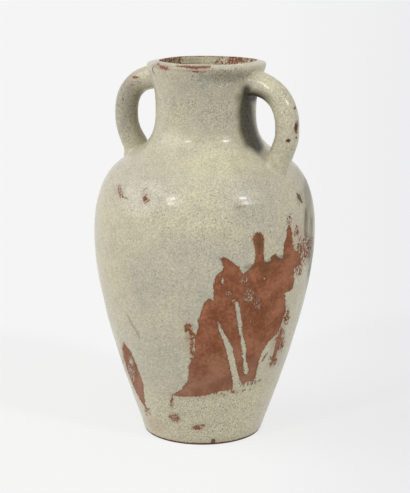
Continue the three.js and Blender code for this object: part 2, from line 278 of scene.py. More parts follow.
def relief(points, bare_mm):
    """How far the finished surface stands out from the thrown one."""
    height = points[:, 2]
    lumps = np.sin(points @ lump_waves.T + lump_phases).sum(axis=1) / math.sqrt(LUMP_COUNT / 2)
    drift = sum(strength * np.sin(height / length) for strength, length in RING_DRIFTS)
    rings = np.sin(2 * math.pi * height / RING_SPACING + drift)
    glazed = np.clip(0.5 - bare_mm / (2 * SOFT_EDGE_MM), 0, 1)
    glazed = glazed * glazed * (3 - 2 * glazed)
    return LUMP_HEIGHT * lumps + RING_HEIGHT * rings + GLAZE_THICKNESS * glazed


# Where the glaze is gone. Each outline was read off the photograph and is given in millimetres
# across the jar and up it, as the worn side is seen from in front.
LARGE_PATCH_MM = (
    (22, 270), (27, 271), (36, 265), (46, 256), (50, 247), (58, 253), (65, 261), (66, 274), (64, 284),
    (62, 294), (67, 299), (73, 298), (77, 290), (76, 271), (78, 260), (86, 259), (86, 266), (92, 269),
    (96, 262), (101, 260), (103, 280), (106, 287), (107, 297), (109, 305), (112, 296), (113, 286),
    (115, 275), (117, 268), (124, 262), (127, 250), (125, 243), (117, 245), (117, 224), (115, 214),
    (105, 213), (107, 186), (100, 161), (94, 154), (86, 148), (79, 139), (74, 127), (71, 113), (69, 100),
    (66, 91), (61, 93), (51, 92), (40, 84), (17, 82), (0, 77), (-24, 75), (-40, 75), (-27, 86),
    (-19, 99), (-17, 123), (-9, 142), (-10, 162), (-19, 171), (-23, 180), (-18, 182), (-13, 172),
    (-9, 167), (-5, 175), (-5, 187), (0, 204), (3, 212), (8, 217), (14, 214), (14, 233), (16, 246),
    (25, 254), (27, 258),
)
LEFT_PATCH_MM = (
    (-103, 137), (-93, 127), (-86, 107), (-78, 83), (-77, 62), (-76, 49), (-69, 34), (-81, 50),
    (-90, 65), (-98, 85), (-104, 110), (-106, 126),
)
# Runs of glaze left standing on the bare clay: across, up and half the width at each point
LEFT_RUN_MM = (
    (19, 185, 0.8), (23, 172, 2.2), (29, 160, 3.4), (34, 145, 4.2), (38, 125, 4.2), (42, 106, 4.2),
    (46, 82, 6),
)
MIDDLE_RUN_MM = (
    (43, 208, 2.4), (45, 196, 2.8), (47, 180, 3.1), (48, 169, 2.2), (50, 161, 1.5), (51, 154, 2.7),
    (53, 142, 3.1), (53, 133, 2.5), (54, 127, 1.5), (55, 120, 3.0), (56, 112, 3.4), (56, 106, 2.2),
)
# Scratches down to the clay, and strokes of brown under the lip where the glaze drew back
SCRATCHES_MM = (
    ((102, 160, 0.2), (99, 148, 1.6), (97, 137, 2.6), (94, 125, 2.6), (90, 113, 1.4), (88, 106, 0.2)),
    ((84, 131, 0.1), (80, 125, 1.0), (76, 119, 0.6)),
    ((-105, 348, 0.4), (-107, 342, 0.7), (-104, 335, 0.7)),
    ((-108, 346, 0.4), (-103, 342, 0.6), (-101, 336, 0.8), (-95, 335, 0.5)),
    ((-69, 344, 0.5), (-73, 339, 0.9), (-71, 334, 1.1), (-66, 337, 0.7)),
    ((-33, 498.9, 0.2), (-20, 498.2, 1.0), (-6, 497.8, 1.1), (4, 498.0, 1.0), (10, 498.8, 0.3)),
    ((-24, 493.5, 0.1), (-8, 493, 0.3), (2, 492.6, 0.6), (5, 493, 0.3)),
    ((-58, 498.5, 0.3), (-50, 496.5, 0.7), (-46, 494.5, 1.2), (-43, 494.5, 0.4)),
)
# Dark marks: cracks and pits that hold grime. The second run is painted shade in the crease where the
# left handle's upper root meets the neck under the lip
CRACKS_AND_CREASE_SHADE_MM = (
    ((120, 337, 0.6), (123, 332, 2.0), (127, 324, 0.8)),
    ((-61, 497, 0.2), (-64, 492, 0.6), (-62, 487, 0.6), (-58, 481, 0.2)),
    ((-75, 346, 0.4), (-71, 350, 0.6), (-68, 351, 0.3)),
)
PITS_MM = (
    (-94, 335, 0.9, 0.9), (-89, 323, 0.9, 0.9), (-60, 347, 0.9, 0.8), (-61, 341, 0.6, 1.1),
    (111, 315, 0.9, 1.6), (46, 332, 0.9, 1.0), (52, 332, 0.8, 0.6), (46, 313, 0.9, 0.6),
    (51, 348, 0.6, 0.6), (109, 185, 0.9, 0.9), (14, 6, 3.0, 3.6), (14, 15, 1.2, 0.7),
    (116, 447, 1.2, 2.3), (117.8, 423, 1.9, 5.6), (118, 410, 1.3, 1.6), (108, 407, 2.1, 2.1),
    (113, 395, 0.7, 1.0), (-93, 463, 1.1, 1.0), (-108, 455, 0.9, 0.8), (-106, 443, 1.1, 1.4),
    (-112, 398, 0.9, 0.9), (-104, 462, 0.7, 0.7), (-86, 468, 1.0, 0.6), (40, 274, 0.8, 0.7),
    (10, 395, 0.7, 0.6),
)
# Small spots, bare and glazed: across, up, half the width and half the height
BARE_SPOTS_MM = (
    (-36, 40, 5.4, 4.8), (-8, 27, 4.6, 2.6), (-1, 31, 3.0, 1.8), (-89, 473, 3.0, 1.4),
    (-40, 67, 0.9, 4), (108, 407, 2.3, 2.3), (117.8, 423, 2.3, 6.2),
)
GLAZE_SPOTS_MM = (
    (25, 241, 1.6, 3.5), (61, 214, 1.1, 5), (78, 238, 0.9, 1.3), (61, 182, 1.0, 1.0),
    (-94, 111, 1.6, 3.5),
)


def across_and_up_mm(points):
    return points @ to_right * 1000, points[:, 2] * 1000


def gap_to_line(across, up, start, end):
    """How far each point is from a straight line, and how far along it the nearest place is."""
    side = np.array(end) - np.array(start)
    along = (across - start[0]) * side[0] + (up - start[1]) * side[1]
    share = np.clip(along / (side @ side), 0, 1)
    return np.hypot(across - start[0] - share * side[0], up - start[1] - share * side[1]), share


def outline_depth(across, up, corners):
    """How far inside a closed outline each point is, negative outside it."""
    corners = np.array(corners, float)
    nearest = np.full(len(across), np.inf)
    inside = np.zeros(len(across), bool)
    for start, end in zip(corners, np.roll(corners, -1, axis=0)):
        nearest = np.minimum(nearest, gap_to_line(across, up, start, end)[0])
        if start[1] != end[1]:
            crosses = (start[1] > up) != (end[1] > up)
            slope = (end[0] - start[0]) / (end[1] - start[1])
            inside ^= crosses & (across < start[0] + (up - start[1]) * slope)
    return np.where(inside, nearest, -nearest)


def run_depth(across, up, stations):
    """How far inside a run of glaze each point is, where the run widens along its stations."""
    deepest = np.full(len(across), -np.inf)
    for (*start, start_width), (*end, end_width) in zip(stations, stations[1:]):
        gap, share = gap_to_line(across, up, start, end)
        deepest = np.maximum(deepest, start_width + (end_width - start_width) * share - gap)
    return deepest


def reach_of(across, up, x, y, half_width, half_height):
    """How far out in an oval spot each point is, where 1 is the spot's edge."""
    return np.hypot((across - x) / half_width, (up - y) / half_height)


def spot_depth(across, up, spots):
    deepest = np.full(len(across), -np.inf)
    for spot in spots:
        depth = (1 - reach_of(across, up, *spot)) * min(spot[2:])
        deepest = np.maximum(deepest, depth)
    return deepest


# Small round chips all over the jar, where grime has settled
CHIP_COUNT = 90
CHIP_SIZES_MM = (0.3, 0.5)
chip_dice = np.random.default_rng(21)
chip_turns = chip_dice.uniform(0, 2 * math.pi, CHIP_COUNT)
chip_heights = chip_dice.uniform(0.01, LIP_TOP, CHIP_COUNT)
chip_sizes_mm = CHIP_SIZES_MM[0] + CHIP_SIZES_MM[1] * chip_dice.random(CHIP_COUNT) ** 3
chip_radii = np.interp(chip_heights, outer_line[:, 1], outer_line[:, 0])
chips = np.stack(
    [chip_radii * np.cos(chip_turns), chip_radii * np.sin(chip_turns), chip_heights], axis=1)
# The depth where nothing marks the glaze, how far up the foot is bare, and how far up its lower edge is
# painted dark as painted shade where it meets the floor
UNDER_THE_GLAZE_MM = -50.0
FOOT_BARE_MM = 3.2
FOOT_PAINTED_SHADE_MM = 2.5
# Dark marks reach this far behind the jar's silhouette
DARK_AROUND = -0.03
# Worn bands down the back of the mouth: the middle, half the width and how fully each is worn
MOUTH_BANDS_MM = ((-44, 15, -0.1), (27, 8, -0.3), (44, 9, 0.4), (63, 8, -0.1))
MOUTH_BAND_EDGE_MM = 3
MOUTH_RIM_MM = 1.8
MOUTH_FRONT_MM = -4
# How far down the mouth the poured glaze ran
MOUTH_GLAZED_MM = 34


def bare_depth_mm(points, facing):
    """How far each point lies within bare clay, in millimetres and negative under the glaze."""
    across, up = across_and_up_mm(points)
    depth = outline_depth(across, up, LARGE_PATCH_MM)
    for run in (LEFT_RUN_MM, MIDDLE_RUN_MM):
        depth = np.minimum(depth, -run_depth(across, up, run))
    depth = np.maximum(depth, outline_depth(across, up, LEFT_PATCH_MM))
    depth = np.minimum(depth, -spot_depth(across, up, GLAZE_SPOTS_MM))
    depth = np.maximum(depth, spot_depth(across, up, BARE_SPOTS_MM))
    for scratch in SCRATCHES_MM:
        depth = np.maximum(depth, run_depth(across, up, scratch))
    depth = np.where(facing > 0, depth, UNDER_THE_GLAZE_MM)
    return np.maximum.reduce([depth, FOOT_BARE_MM - up, np.full(len(up), UNDER_THE_GLAZE_MM)])


def mouth_depth_mm(points):
    """The same inside the mouth: worn down the back in bands, and bare below the poured glaze."""
    across, up = across_and_up_mm(points)
    bands = [worn - np.clip((np.abs(across - middle) - half) / MOUTH_BAND_EDGE_MM, 0, None)
             for middle, half, worn in MOUTH_BANDS_MM]
    worn_back = np.maximum.reduce([*bands, up - LIP_TOP * 1000 + MOUTH_RIM_MM])
    depth = np.where(points @ to_viewer < 0, worn_back, MOUTH_FRONT_MM)
    depth = np.maximum(depth, (LIP_TOP * 1000 - MOUTH_GLAZED_MM - up) / 2)
    return np.maximum(depth, UNDER_THE_GLAZE_MM)


def dark_depth_mm(points, facing):
    """How far each point lies within a dark crack, pit or chip, or a line of painted shade in a crease
    or along the foot, in millimetres.
    """
    across, up = across_and_up_mm(points)
    depth = spot_depth(across, up, PITS_MM)
    for crack in CRACKS_AND_CREASE_SHADE_MM:
        depth = np.maximum(depth, run_depth(across, up, crack))
    depth = np.where(facing > DARK_AROUND, depth, UNDER_THE_GLAZE_MM)
    depth = np.maximum(depth, FOOT_PAINTED_SHADE_MM - up)
    for chip, size in zip(chips, chip_sizes_mm):
        depth = np.maximum(depth, size - np.linalg.norm(points - chip, axis=1) * 1000)
    return depth


# Soft places: across, up, half the width, half the height and how strong each is. The glaze broke
# into small bits or left bits of itself on the clay, pooled olive, went cool and grey or thin and
# warm, caught dark grit or was stained brown by the clay. The last list is painted shade, a few
# olive places are partly painted shade, and two warm places are painted light.
PLACES_MM = {
    "broken": (
        (129, 262, 18, 23), (124, 240, 8, 14, 0.9), (119, 292, 4, 10), (108, 178, 6, 16, 0.9),
        (101, 145, 8, 24), (92, 116, 7, 14, 0.9), (-18, 176, 6, 9), (-13, 150, 4, 26),
        (-38, 41, 8, 7, 0.9), (-6, 28, 8, 5, 0.9), (-73, 38, 6, 10, 0.8), (-40, 62, 3, 12, 0.8),
        (66, 294, 6, 6, 0.6), (109, 308, 4, 7, 0.8), (-104, 341, 4, 6, 0.8), (-71, 337, 4, 5, 0.8),
        (60, 90, 24, 5, 0.7), (20, 80, 60, 4, 0.7), (-50, 496, 10, 3, 0.7), (-8, 494, 20, 3, 0.3),
        (-104, 100, 5, 40, 0.5),
    ),
    "flecked": (
        (52, 240, 8, 8), (32, 223, 6, 5), (58, 218, 10, 14), (70, 205, 7, 10), (40, 212, 6, 5),
        (76, 118, 6, 8), (-94, 98, 8, 34), (-36, 40, 7, 6, 1.2), (-6, 28, 5, 3, 0.9),
    ),
    # The first two olive places, along the belly's right edge, and the one under the lip are partly
    # olive glaze and partly painted shade
    "olive_and_painted_shade": (
        (141, 250, 5, 90, 0.8), (136, 330, 8, 40, 0.7), (125, 330, 6, 10, 0.5), (128, 355, 8, 14, 0.3),
        (96, 262, 14, 4), (84, 259, 8, 3), (71, 284, 4, 14, 0.9), (60, 256, 9, 4, 0.8),
        (80, 250, 10, 5, 0.6), (30, 488, 26, 9, 0.36), (0, 300, 3, 10, 0.2),
    ),
    "cool": (
        (20, 480, 50, 14), (60, 330, 40, 40), (-60, 130, 50, 50), (-70, 230, 30, 50),
        (-104, 440, 14, 50), (20, 200, 60, 50), (30, 250, 46, 50), (-10, 260, 50, 50),
        (-70, 350, 50, 30, 0.8), (10, 450, 50, 40, 0.5),
    ),
    # The places on the right handle's upper arm and at its lower root are painted light: a paler top and
    # a painted highlight
    "warm_and_painted_light": (
        (0, 330, 44, 40, 0.7), (20, 380, 50, 20), (-20, 260, 30, 24, 0.2), (84, 478, 18, 12),
        (88, 384, 9, 7), (60, 40, 40, 40, 0.6),
    ),
    "grit": (
        (26, 486, 40, 14, 1.4), (100, 450, 32, 30, 0.8), (-100, 440, 24, 50, 0.9),
        (10, 40, 80, 44), (0, 440, 60, 20, 0.7), (40, 300, 60, 60, 0.4), (-40, 330, 60, 30, 0.3),
    ),
    "stained": (
        (-36, 40, 9, 8), (-6, 28, 9, 6), (-104, 341, 7, 8, 0.5), (-71, 340, 7, 8, 0.5),
        (-62, 20, 16, 14, 0.45), (46, 333, 8, 6, 0.4), (-50, 497, 14, 4, 0.8), (-98, 466, 9, 12, 0.45),
        (-12, 76, 36, 5, 0.6), (-40, 64, 3, 14, 0.8), (124, 280, 16, 26, 0.4), (98, 140, 10, 34, 0.7),
        (-16, 160, 7, 26, 0.6), (-104, 100, 6, 40, 0.5), (-10, 495, 28, 3, 0.6), (5, 6, 60, 5, 0.3),
    ),
    # Painted shade: on the left handle, under the right handle's arm, under and on the front of the lip,
    # on the neck, on the shoulder below the right handle and along the belly's right edge
    "painted_shade": (
        (-105, 450, 20, 60, 0.22), (-86, 430, 8, 40, 0.34), (64, 457, 20, 11), (26, 487, 40, 10, 0.26),
        (48, 330, 11, 9, 0.16), (0, 445, 40, 36, 0.07), (0, 495, 62, 4, 0.12), (140, 300, 8, 90, 0.2),
    ),
}
OLIVE_RUNS_MM = (
    ((132, 320, 1.0), (133, 304, 3.0), (133.5, 288, 3.8), (133, 275, 1.4)),
    ((-99, 187, 0.2), (-92, 173, 0.9), (-84, 160, 0.9), (-80, 151, 0.3)),
)
# Painted shade on the glaze behind the right handle's loop, where the handle shades the neck
PAINTED_SHADE_RUN_MM = ((56, 468, 8), (55, 440, 12), (57, 418, 13), (62, 402, 12), (72, 391, 8))
PAINTED_SHADE_SOFTNESS_MM = 7
PAINTED_SHADE_SPREAD = 0.2
PAINTED_SHADE_STRENGTH = 0.93
OLIVE_SOFTNESS_MM = 1.6
OLIVE_SPREAD = 0.4
# How far out in a place it is whole and how far out it has faded, where 1 is its edge
PLACE_WHOLE = 0.5
PLACE_FADED = 1.3
# How softly a place ends where the jar or a rod turns away from the viewer
AROUND_SOFTNESS = 0.02
# A rod's places reach a little way round it, as a share of its half thickness
ROD_AROUND = 0.4
# The poured glaze inside the mouth is thin and broken all over, and is painted paler all over as painted
# light
INSIDE_SHARES = {"broken": 0.2, "flecked": 0.62, "warm_and_painted_light": 1.6}


def place_share(points, facing, places):
    """The share of a soft place at each point: whole in its middle and fading past its edge."""
    across, up = across_and_up_mm(points)
    share = np.zeros(len(points))
    for x, y, half_width, half_height, *strength in places:
        reach = reach_of(across, up, x, y, half_width, half_height)
        soft = np.clip((PLACE_FADED - reach) / (PLACE_FADED - PLACE_WHOLE), 0, 1)
        share = np.maximum(share, soft * (strength[0] if strength else 1))
    return share * np.clip(0.5 + facing / AROUND_SOFTNESS, 0, 1)


# Painted shade behind the right handle's loop, fading out where the jar turns away
def painted_shade_share(points):
    across, up = across_and_up_mm(points)
    depth = run_depth(across, up, PAINTED_SHADE_RUN_MM)
    share = np.clip(depth / PAINTED_SHADE_SOFTNESS_MM + PAINTED_SHADE_SPREAD, 0, 1)
    return PAINTED_SHADE_STRENGTH * share * np.clip(1 + points @ to_viewer / AROUND_SOFTNESS, 0, 1)


def olive_run_share(points, facing):
    across, up = across_and_up_mm(points)
    depth = np.maximum.reduce([run_depth(across, up, run) for run in OLIVE_RUNS_MM])
    return np.clip(depth / OLIVE_SOFTNESS_MM + OLIVE_SPREAD, 0, 1) * (facing > 0)


def coordinates(mesh):
    flat = np.empty(len(mesh.vertices) * 3)
    mesh.vertices.foreach_get("co", flat)
    return flat.reshape(-1, 3)


def fired(mesh, outwards, inside=None, half_thickness=None):
    """Give a mesh its lean, its worn places, its painted shade and light, and its relief along the
    outward directions.

    The worn places lie on the side that faces the viewer, of the jar or of a rod of clay.
    """
    points = leaned(coordinates(mesh))
    if inside is None:
        inside = np.zeros(len(points), bool)
    facing = points @ to_viewer
    if half_thickness is not None:
        facing = (outwards @ to_viewer + ROD_AROUND) * half_thickness
    shares = {name: place_share(points, facing, places) for name, places in PLACES_MM.items()}
    shares["olive_and_painted_shade"] = np.maximum(shares["olive_and_painted_shade"], olive_run_share(points, facing))
    shares["painted_shade"] = np.maximum(shares["painted_shade"], painted_shade_share(points))
    for name, share in INSIDE_SHARES.items():
        shares[name] = np.where(inside, share, shares[name])
    bare = np.where(inside, mouth_depth_mm(points), bare_depth_mm(points, facing))
    depths = {"bare_mm": bare, "dark_mm": dark_depth_mm(points, facing)}
    for name, values in (depths | shares).items():
        stored = mesh.attributes.new(name, "FLOAT", "POINT")
        stored.data.foreach_set("value", values.astype(np.float32))
    points += outwards * relief(points, bare)[:, None]
    mesh.vertices.foreach_set("co", points.ravel())
    mesh.update()


def wall_outwards(points):
    """The outward direction of the outer wall at the height of each point."""
    slope = np.interp(points[:, 2], outer_line[:, 1], outer_way[:, 0] / outer_way[:, 1])
    around = points[:, :2] / np.linalg.norm(points[:, :2], axis=1)[:, None]
    ways = np.concatenate([around, -slope[:, None]], axis=1)
    return ways / np.linalg.norm(ways, axis=1)[:, None]


# Materials of the fired jar: the red clay, the crackle glaze over it, and the worn edge between
SMOOTH_DETAIL = 2.0


def fill_inputs(tree, made, inputs):
    for socket, value in (inputs or {}).items():
        if isinstance(value, Amount):
            value = value.socket
        if isinstance(value, bpy.types.NodeSocket):
            tree.links.new(value, made.inputs[socket])
        else:
            made.inputs[socket].default_value = value
    return made


def add_node(tree, kind, inputs=None, **settings):
    made = tree.nodes.new(kind)
    for name, value in settings.items():
        setattr(made, name, value)
    return fill_inputs(tree, made, inputs)


class Amount:
    """A value or colour that changes from place to place. Sums with it add nodes to its tree."""

    def __init__(self, socket):
        self.socket = socket
        self.tree = socket.id_data

    def sum_of(self, operation, first, second):
        made = add_node(self.tree, "ShaderNodeMath", {0: first, 1: second}, operation=operation)
        return Amount(made.outputs[0])

    def __add__(self, other):
        return self.sum_of("ADD", self, other)

    def __sub__(self, other):
        return self.sum_of("SUBTRACT", self, other)

    def __rsub__(self, other):
        return self.sum_of("SUBTRACT", other, self)

    def __mul__(self, other):
        return self.sum_of("MULTIPLY", self, other)

    def __truediv__(self, other):
        return self.sum_of("DIVIDE", self, other)

    def __pow__(self, other):
        return self.sum_of("POWER", self, other)

    def or_more(self, other):
        return self.sum_of("MAXIMUM", self, other)

    def or_less(self, other):
        return self.sum_of("MINIMUM", self, other)

    def is_above(self, other):
        return self.sum_of("GREATER_THAN", self, other)

    def clamped(self):
        self.socket.node.use_clamp = True
        return self

    def between(self, low, high, to_low=0.0, to_high=1.0):
        """A smooth step from to_low to to_high as the value goes from low to high."""
        made = add_node(
            self.tree, "ShaderNodeMapRange",
            {"Value": self, "From Min": low, "From Max": high, "To Min": to_low, "To Max": to_high},
            interpolation_type="SMOOTHSTEP")
        return Amount(made.outputs[0])


def blend_colours(tree, share, first, second, blend_type="MIX"):
    made = add_node(
        tree, "ShaderNodeMix", {0: share, 6: first, 7: second}, data_type="RGBA", blend_type=blend_type)
    return Amount(made.outputs[2])


def blend_values(share, first, second):
    return Amount(add_node(share.tree, "ShaderNodeMix", {0: share, 2: first, 3: second}).outputs[0])


def object_place(tree):
    return Amount(add_node(tree, "ShaderNodeTexCoord").outputs["Object"])


def stretched(place, scale):
    made = add_node(place.tree, "ShaderNodeVectorMath", {0: place, 1: scale}, operation="MULTIPLY")
    return Amount(made.outputs[0])


def mottle(place, per_metre, detail=SMOOTH_DETAIL, roughness=0.5):
    made = add_node(
        place.tree, "ShaderNodeTexNoise",
        {"Vector": place, "Scale": per_metre, "Detail": detail, "Roughness": roughness})
    return Amount(made.outputs["Fac"])


def scattered_cells(place, per_metre):
    """The distance to the middle of the nearest cell, and a random number for that cell."""
    cells = add_node(place.tree, "ShaderNodeTexVoronoi", {"Vector": place, "Scale": per_metre})
    dice = add_node(place.tree, "ShaderNodeSeparateColor", {0: cells.outputs["Color"]})
    return Amount(cells.outputs["Distance"]), Amount(dice.outputs[0])


def effect(name, inputs, colours, numbers):
    """An empty node group with its named inputs and their values, and its named outputs."""
    tree = bpy.data.node_groups.new(name, "ShaderNodeTree")
    for socket, value in inputs.items():
        kind = "NodeSocketColor" if isinstance(value, tuple) else "NodeSocketFloat"
        tree.interface.new_socket(socket, in_out="INPUT", socket_type=kind).default_value = value
    for socket in colours:
        tree.interface.new_socket(socket, in_out="OUTPUT", socket_type="NodeSocketColor")
    for socket in numbers:
        tree.interface.new_socket(socket, in_out="OUTPUT", socket_type="NodeSocketFloat")
    entry = tree.nodes.new("NodeGroupInput")
    given = {socket: Amount(entry.outputs[socket]) for socket in inputs}
    return tree, given, tree.nodes.new("NodeGroupOutput")


def placed_effect(tree, group, inputs=None):
    made = tree.nodes.new("ShaderNodeGroup")
    made.node_tree = group
    fill_inputs(tree, made, inputs)
    return {socket.name: Amount(socket) for socket in made.outputs}


def red_clay_effect():
    tree, given, result = effect(
        "Red clay",
        {"Dark": (0.185, 0.058, 0.022, 1), "Light": (0.370, 0.152, 0.078, 1),
         "Fleck": (0.50, 0.27, 0.15, 1), "Dust": (0.330, 0.200, 0.135, 1),
         "Dusty below": 0.07, "Clean above": 0.17},
        ["Color"], ["Roughness", "Height"])
    place = object_place(tree)
    broad = mottle(place, per_metre=38, detail=3)
    fine = mottle(place, per_metre=210, detail=3, roughness=0.6)
    grain = mottle(place, per_metre=1100)
    tone = broad * 0.5 + fine * 0.5
    colour = blend_colours(tree, tone.between(0.34, 0.68), given["Dark"], given["Light"])
    flecks = fine.between(0.66, 0.74) * broad.between(0.42, 0.6)
    colour = blend_colours(tree, flecks * 0.7, colour, given["Fleck"])
    height = Amount(add_node(tree, "ShaderNodeSeparateXYZ", {0: place}).outputs[2])
    low_down = height.between(given["Dusty below"], given["Clean above"], 0.6, 0.0)
    colour = blend_colours(tree, low_down * broad.between(0.3, 0.6, 0.4), colour, given["Dust"])
    fill_inputs(tree, result, {
        "Color": colour, "Roughness": fine.between(0.3, 0.7, 0.5, 0.72),
        "Height": fine * 0.08 + grain * 0.035})
    return tree


def crackle_effect():
    tree, given, result = effect(
        "Crackle", {"Cells per metre": 240.0, "Line share": 0.09, "Bend": 0.003},
        [], ["Lines", "Cell tone"])
    place = object_place(tree)
    waves = add_node(tree, "ShaderNodeTexNoise", {"Vector": place, "Scale": 160.0, "Detail": 1.0})
    shift = add_node(
        tree, "ShaderNodeVectorMath", {0: waves.outputs["Color"], "Scale": given["Bend"]},
        operation="SCALE")
    bent = Amount(add_node(tree, "ShaderNodeVectorMath", {0: place, 1: shift.outputs[0]}).outputs[0])
    edge = add_node(
        tree, "ShaderNodeTexVoronoi", {"Vector": bent, "Scale": given["Cells per metre"]},
        feature="DISTANCE_TO_EDGE")
    lines = add_node(
        tree, "ShaderNodeMapRange",
        {"Value": edge.outputs["Distance"], "From Max": given["Line share"],
         "To Min": 1.0, "To Max": 0.0})
    tone = scattered_cells(bent, given["Cells per metre"])[1]
    fill_inputs(tree, result, {"Lines": lines.outputs[0], "Cell tone": tone})
    return tree


BARE_BITS_PER_METRE = 430.0
KEPT_BITS_PER_METRE = 520.0
DOT_SIZES = (0.30, 0.6)
DOT_EDGE_MM = 0.45
DOT_RAGGED_MM = 1.4


def dots_within(place, per_metre, share, fine):
    """How far inside a scattered dot each point is in millimetres, where share sets the dots' size."""
    distance, dice = scattered_cells(place, per_metre)
    smallest, spread = DOT_SIZES
    depth = (share * (dice * spread + smallest) - distance) * (1000 / per_metre)
    return depth - DOT_EDGE_MM + fine * DOT_RAGGED_MM


def worn_edge_effect():
    """The ragged edge of the glaze, the bits that broke out near it and the bits left on the clay."""
    tree, given, result = effect(
        "Worn edge",
        {"Bare depth": -50.0, "Broken": 0.0, "Flecked": 0.0, "Coarse raggedness": 2.6,
         "Fine raggedness": 4.2, "Fringe": -3.0, "Step down": -0.35},
        [], ["Bare", "Rim", "Rust", "Height"])
    place = object_place(tree)
    coarse = mottle(place, per_metre=160) - 0.5
    fine = mottle(place, per_metre=560, detail=3, roughness=0.6) - 0.5
    ragged = coarse * given["Coarse raggedness"] + fine * given["Fine raggedness"]
    depth = given["Bare depth"] + ragged * (given["Broken"] + 1.0)
    fringe = given["Bare depth"].between(given["Fringe"], 0.0, 0.0, 0.8)
    crumbled = (given["Broken"] * 1.4).or_more(fringe)
    tall = stretched(place, (1.0, 1.0, 0.6))
    depth = depth.or_more(dots_within(tall, BARE_BITS_PER_METRE, crumbled, fine))
    kept = dots_within(place, KEPT_BITS_PER_METRE, given["Flecked"], fine)
    depth = depth.or_less(kept * -1.0)
    bare = depth.between(-0.2, 0.2)
    fill_inputs(tree, result, {
        "Bare": bare, "Rim": depth.between(-1.0, -0.1) * (1.0 - bare),
        "Rust": depth.between(0.2, 1.7, 1.0, 0.0), "Height": bare * given["Step down"]})
    return tree


red_clay = red_clay_effect()
crackle = crackle_effect()
worn_edge = worn_edge_effect()

CREAM = (0.535, 0.490, 0.345, 1)
YELLOW = (0.630, 0.585, 0.395, 1)
GREY = (0.462, 0.435, 0.338, 1)
OLIVE = (0.110, 0.102, 0.046, 1)
GRIMY_CLAY = (0.110, 0.060, 0.024, 1)
RUST = (0.150, 0.045, 0.018, 1)
STAIN = (0.290, 0.150, 0.082, 1)
SPECK = (0.080, 0.070, 0.050, 1)
# Grime in pits and cracks, and painted shade in a crease and along the foot
GRIME_AND_SHADE = (0.060, 0.030, 0.018, 1)
# Painted shade, behind the right handle's loop and in the other shaded places
PAINTED_SHADE_COLOUR = (0.038, 0.033, 0.018, 1)
# How strongly each mark shows in the colour of the glaze and of the clay
COOL_STRENGTH = 0.65
CLOUD_STRENGTH = 0.08
GRAIN_STRENGTH = 0.37
GRIT_GRAIN_STRENGTH = 0.24
CELL_STRENGTH = 0.08
CRACK_STRENGTH = 0.10
PLAIN_SHADE = 0.90
OLIVE_STRENGTH = 0.85
SPECK_STRENGTH = 0.75
RIM_STRENGTH = 0.4
RUST_STRENGTH = 0.65
GRIMY_STRENGTH = 0.9
PIT_AND_SHADE_STRENGTH = 0.85
# Specks of grit: how many cells for each metre, and the share of cells that hold one
SPECKS_PER_METRE = 400.0
SPECK_SHARE = 0.015
GRIT_SPECK_SHARE = 0.16
# Heights of the fine relief, in millimetres
PEEL_MM = 0.07
CRACK_MM = 0.012
PIT_MM = 0.4
PIT_RAGGED_MM = 1.6
# Gloss
COAT_WEIGHT = 0.57
COAT_ROUGHNESS = 0.22
GLAZE_SPECULAR = 0.2
CLAY_SPECULAR = 0.2
BUMP_DISTANCE = 0.001


def empty_material(name):
    material = bpy.data.materials.new(name)
    material.use_nodes = True
    material.node_tree.nodes.clear()
    return material, material.node_tree


def bumped(tree, height):
    made = add_node(
        tree, "ShaderNodeBump", {"Height": height, "Strength": 1.0, "Distance": BUMP_DISTANCE})
    return made.outputs[0]


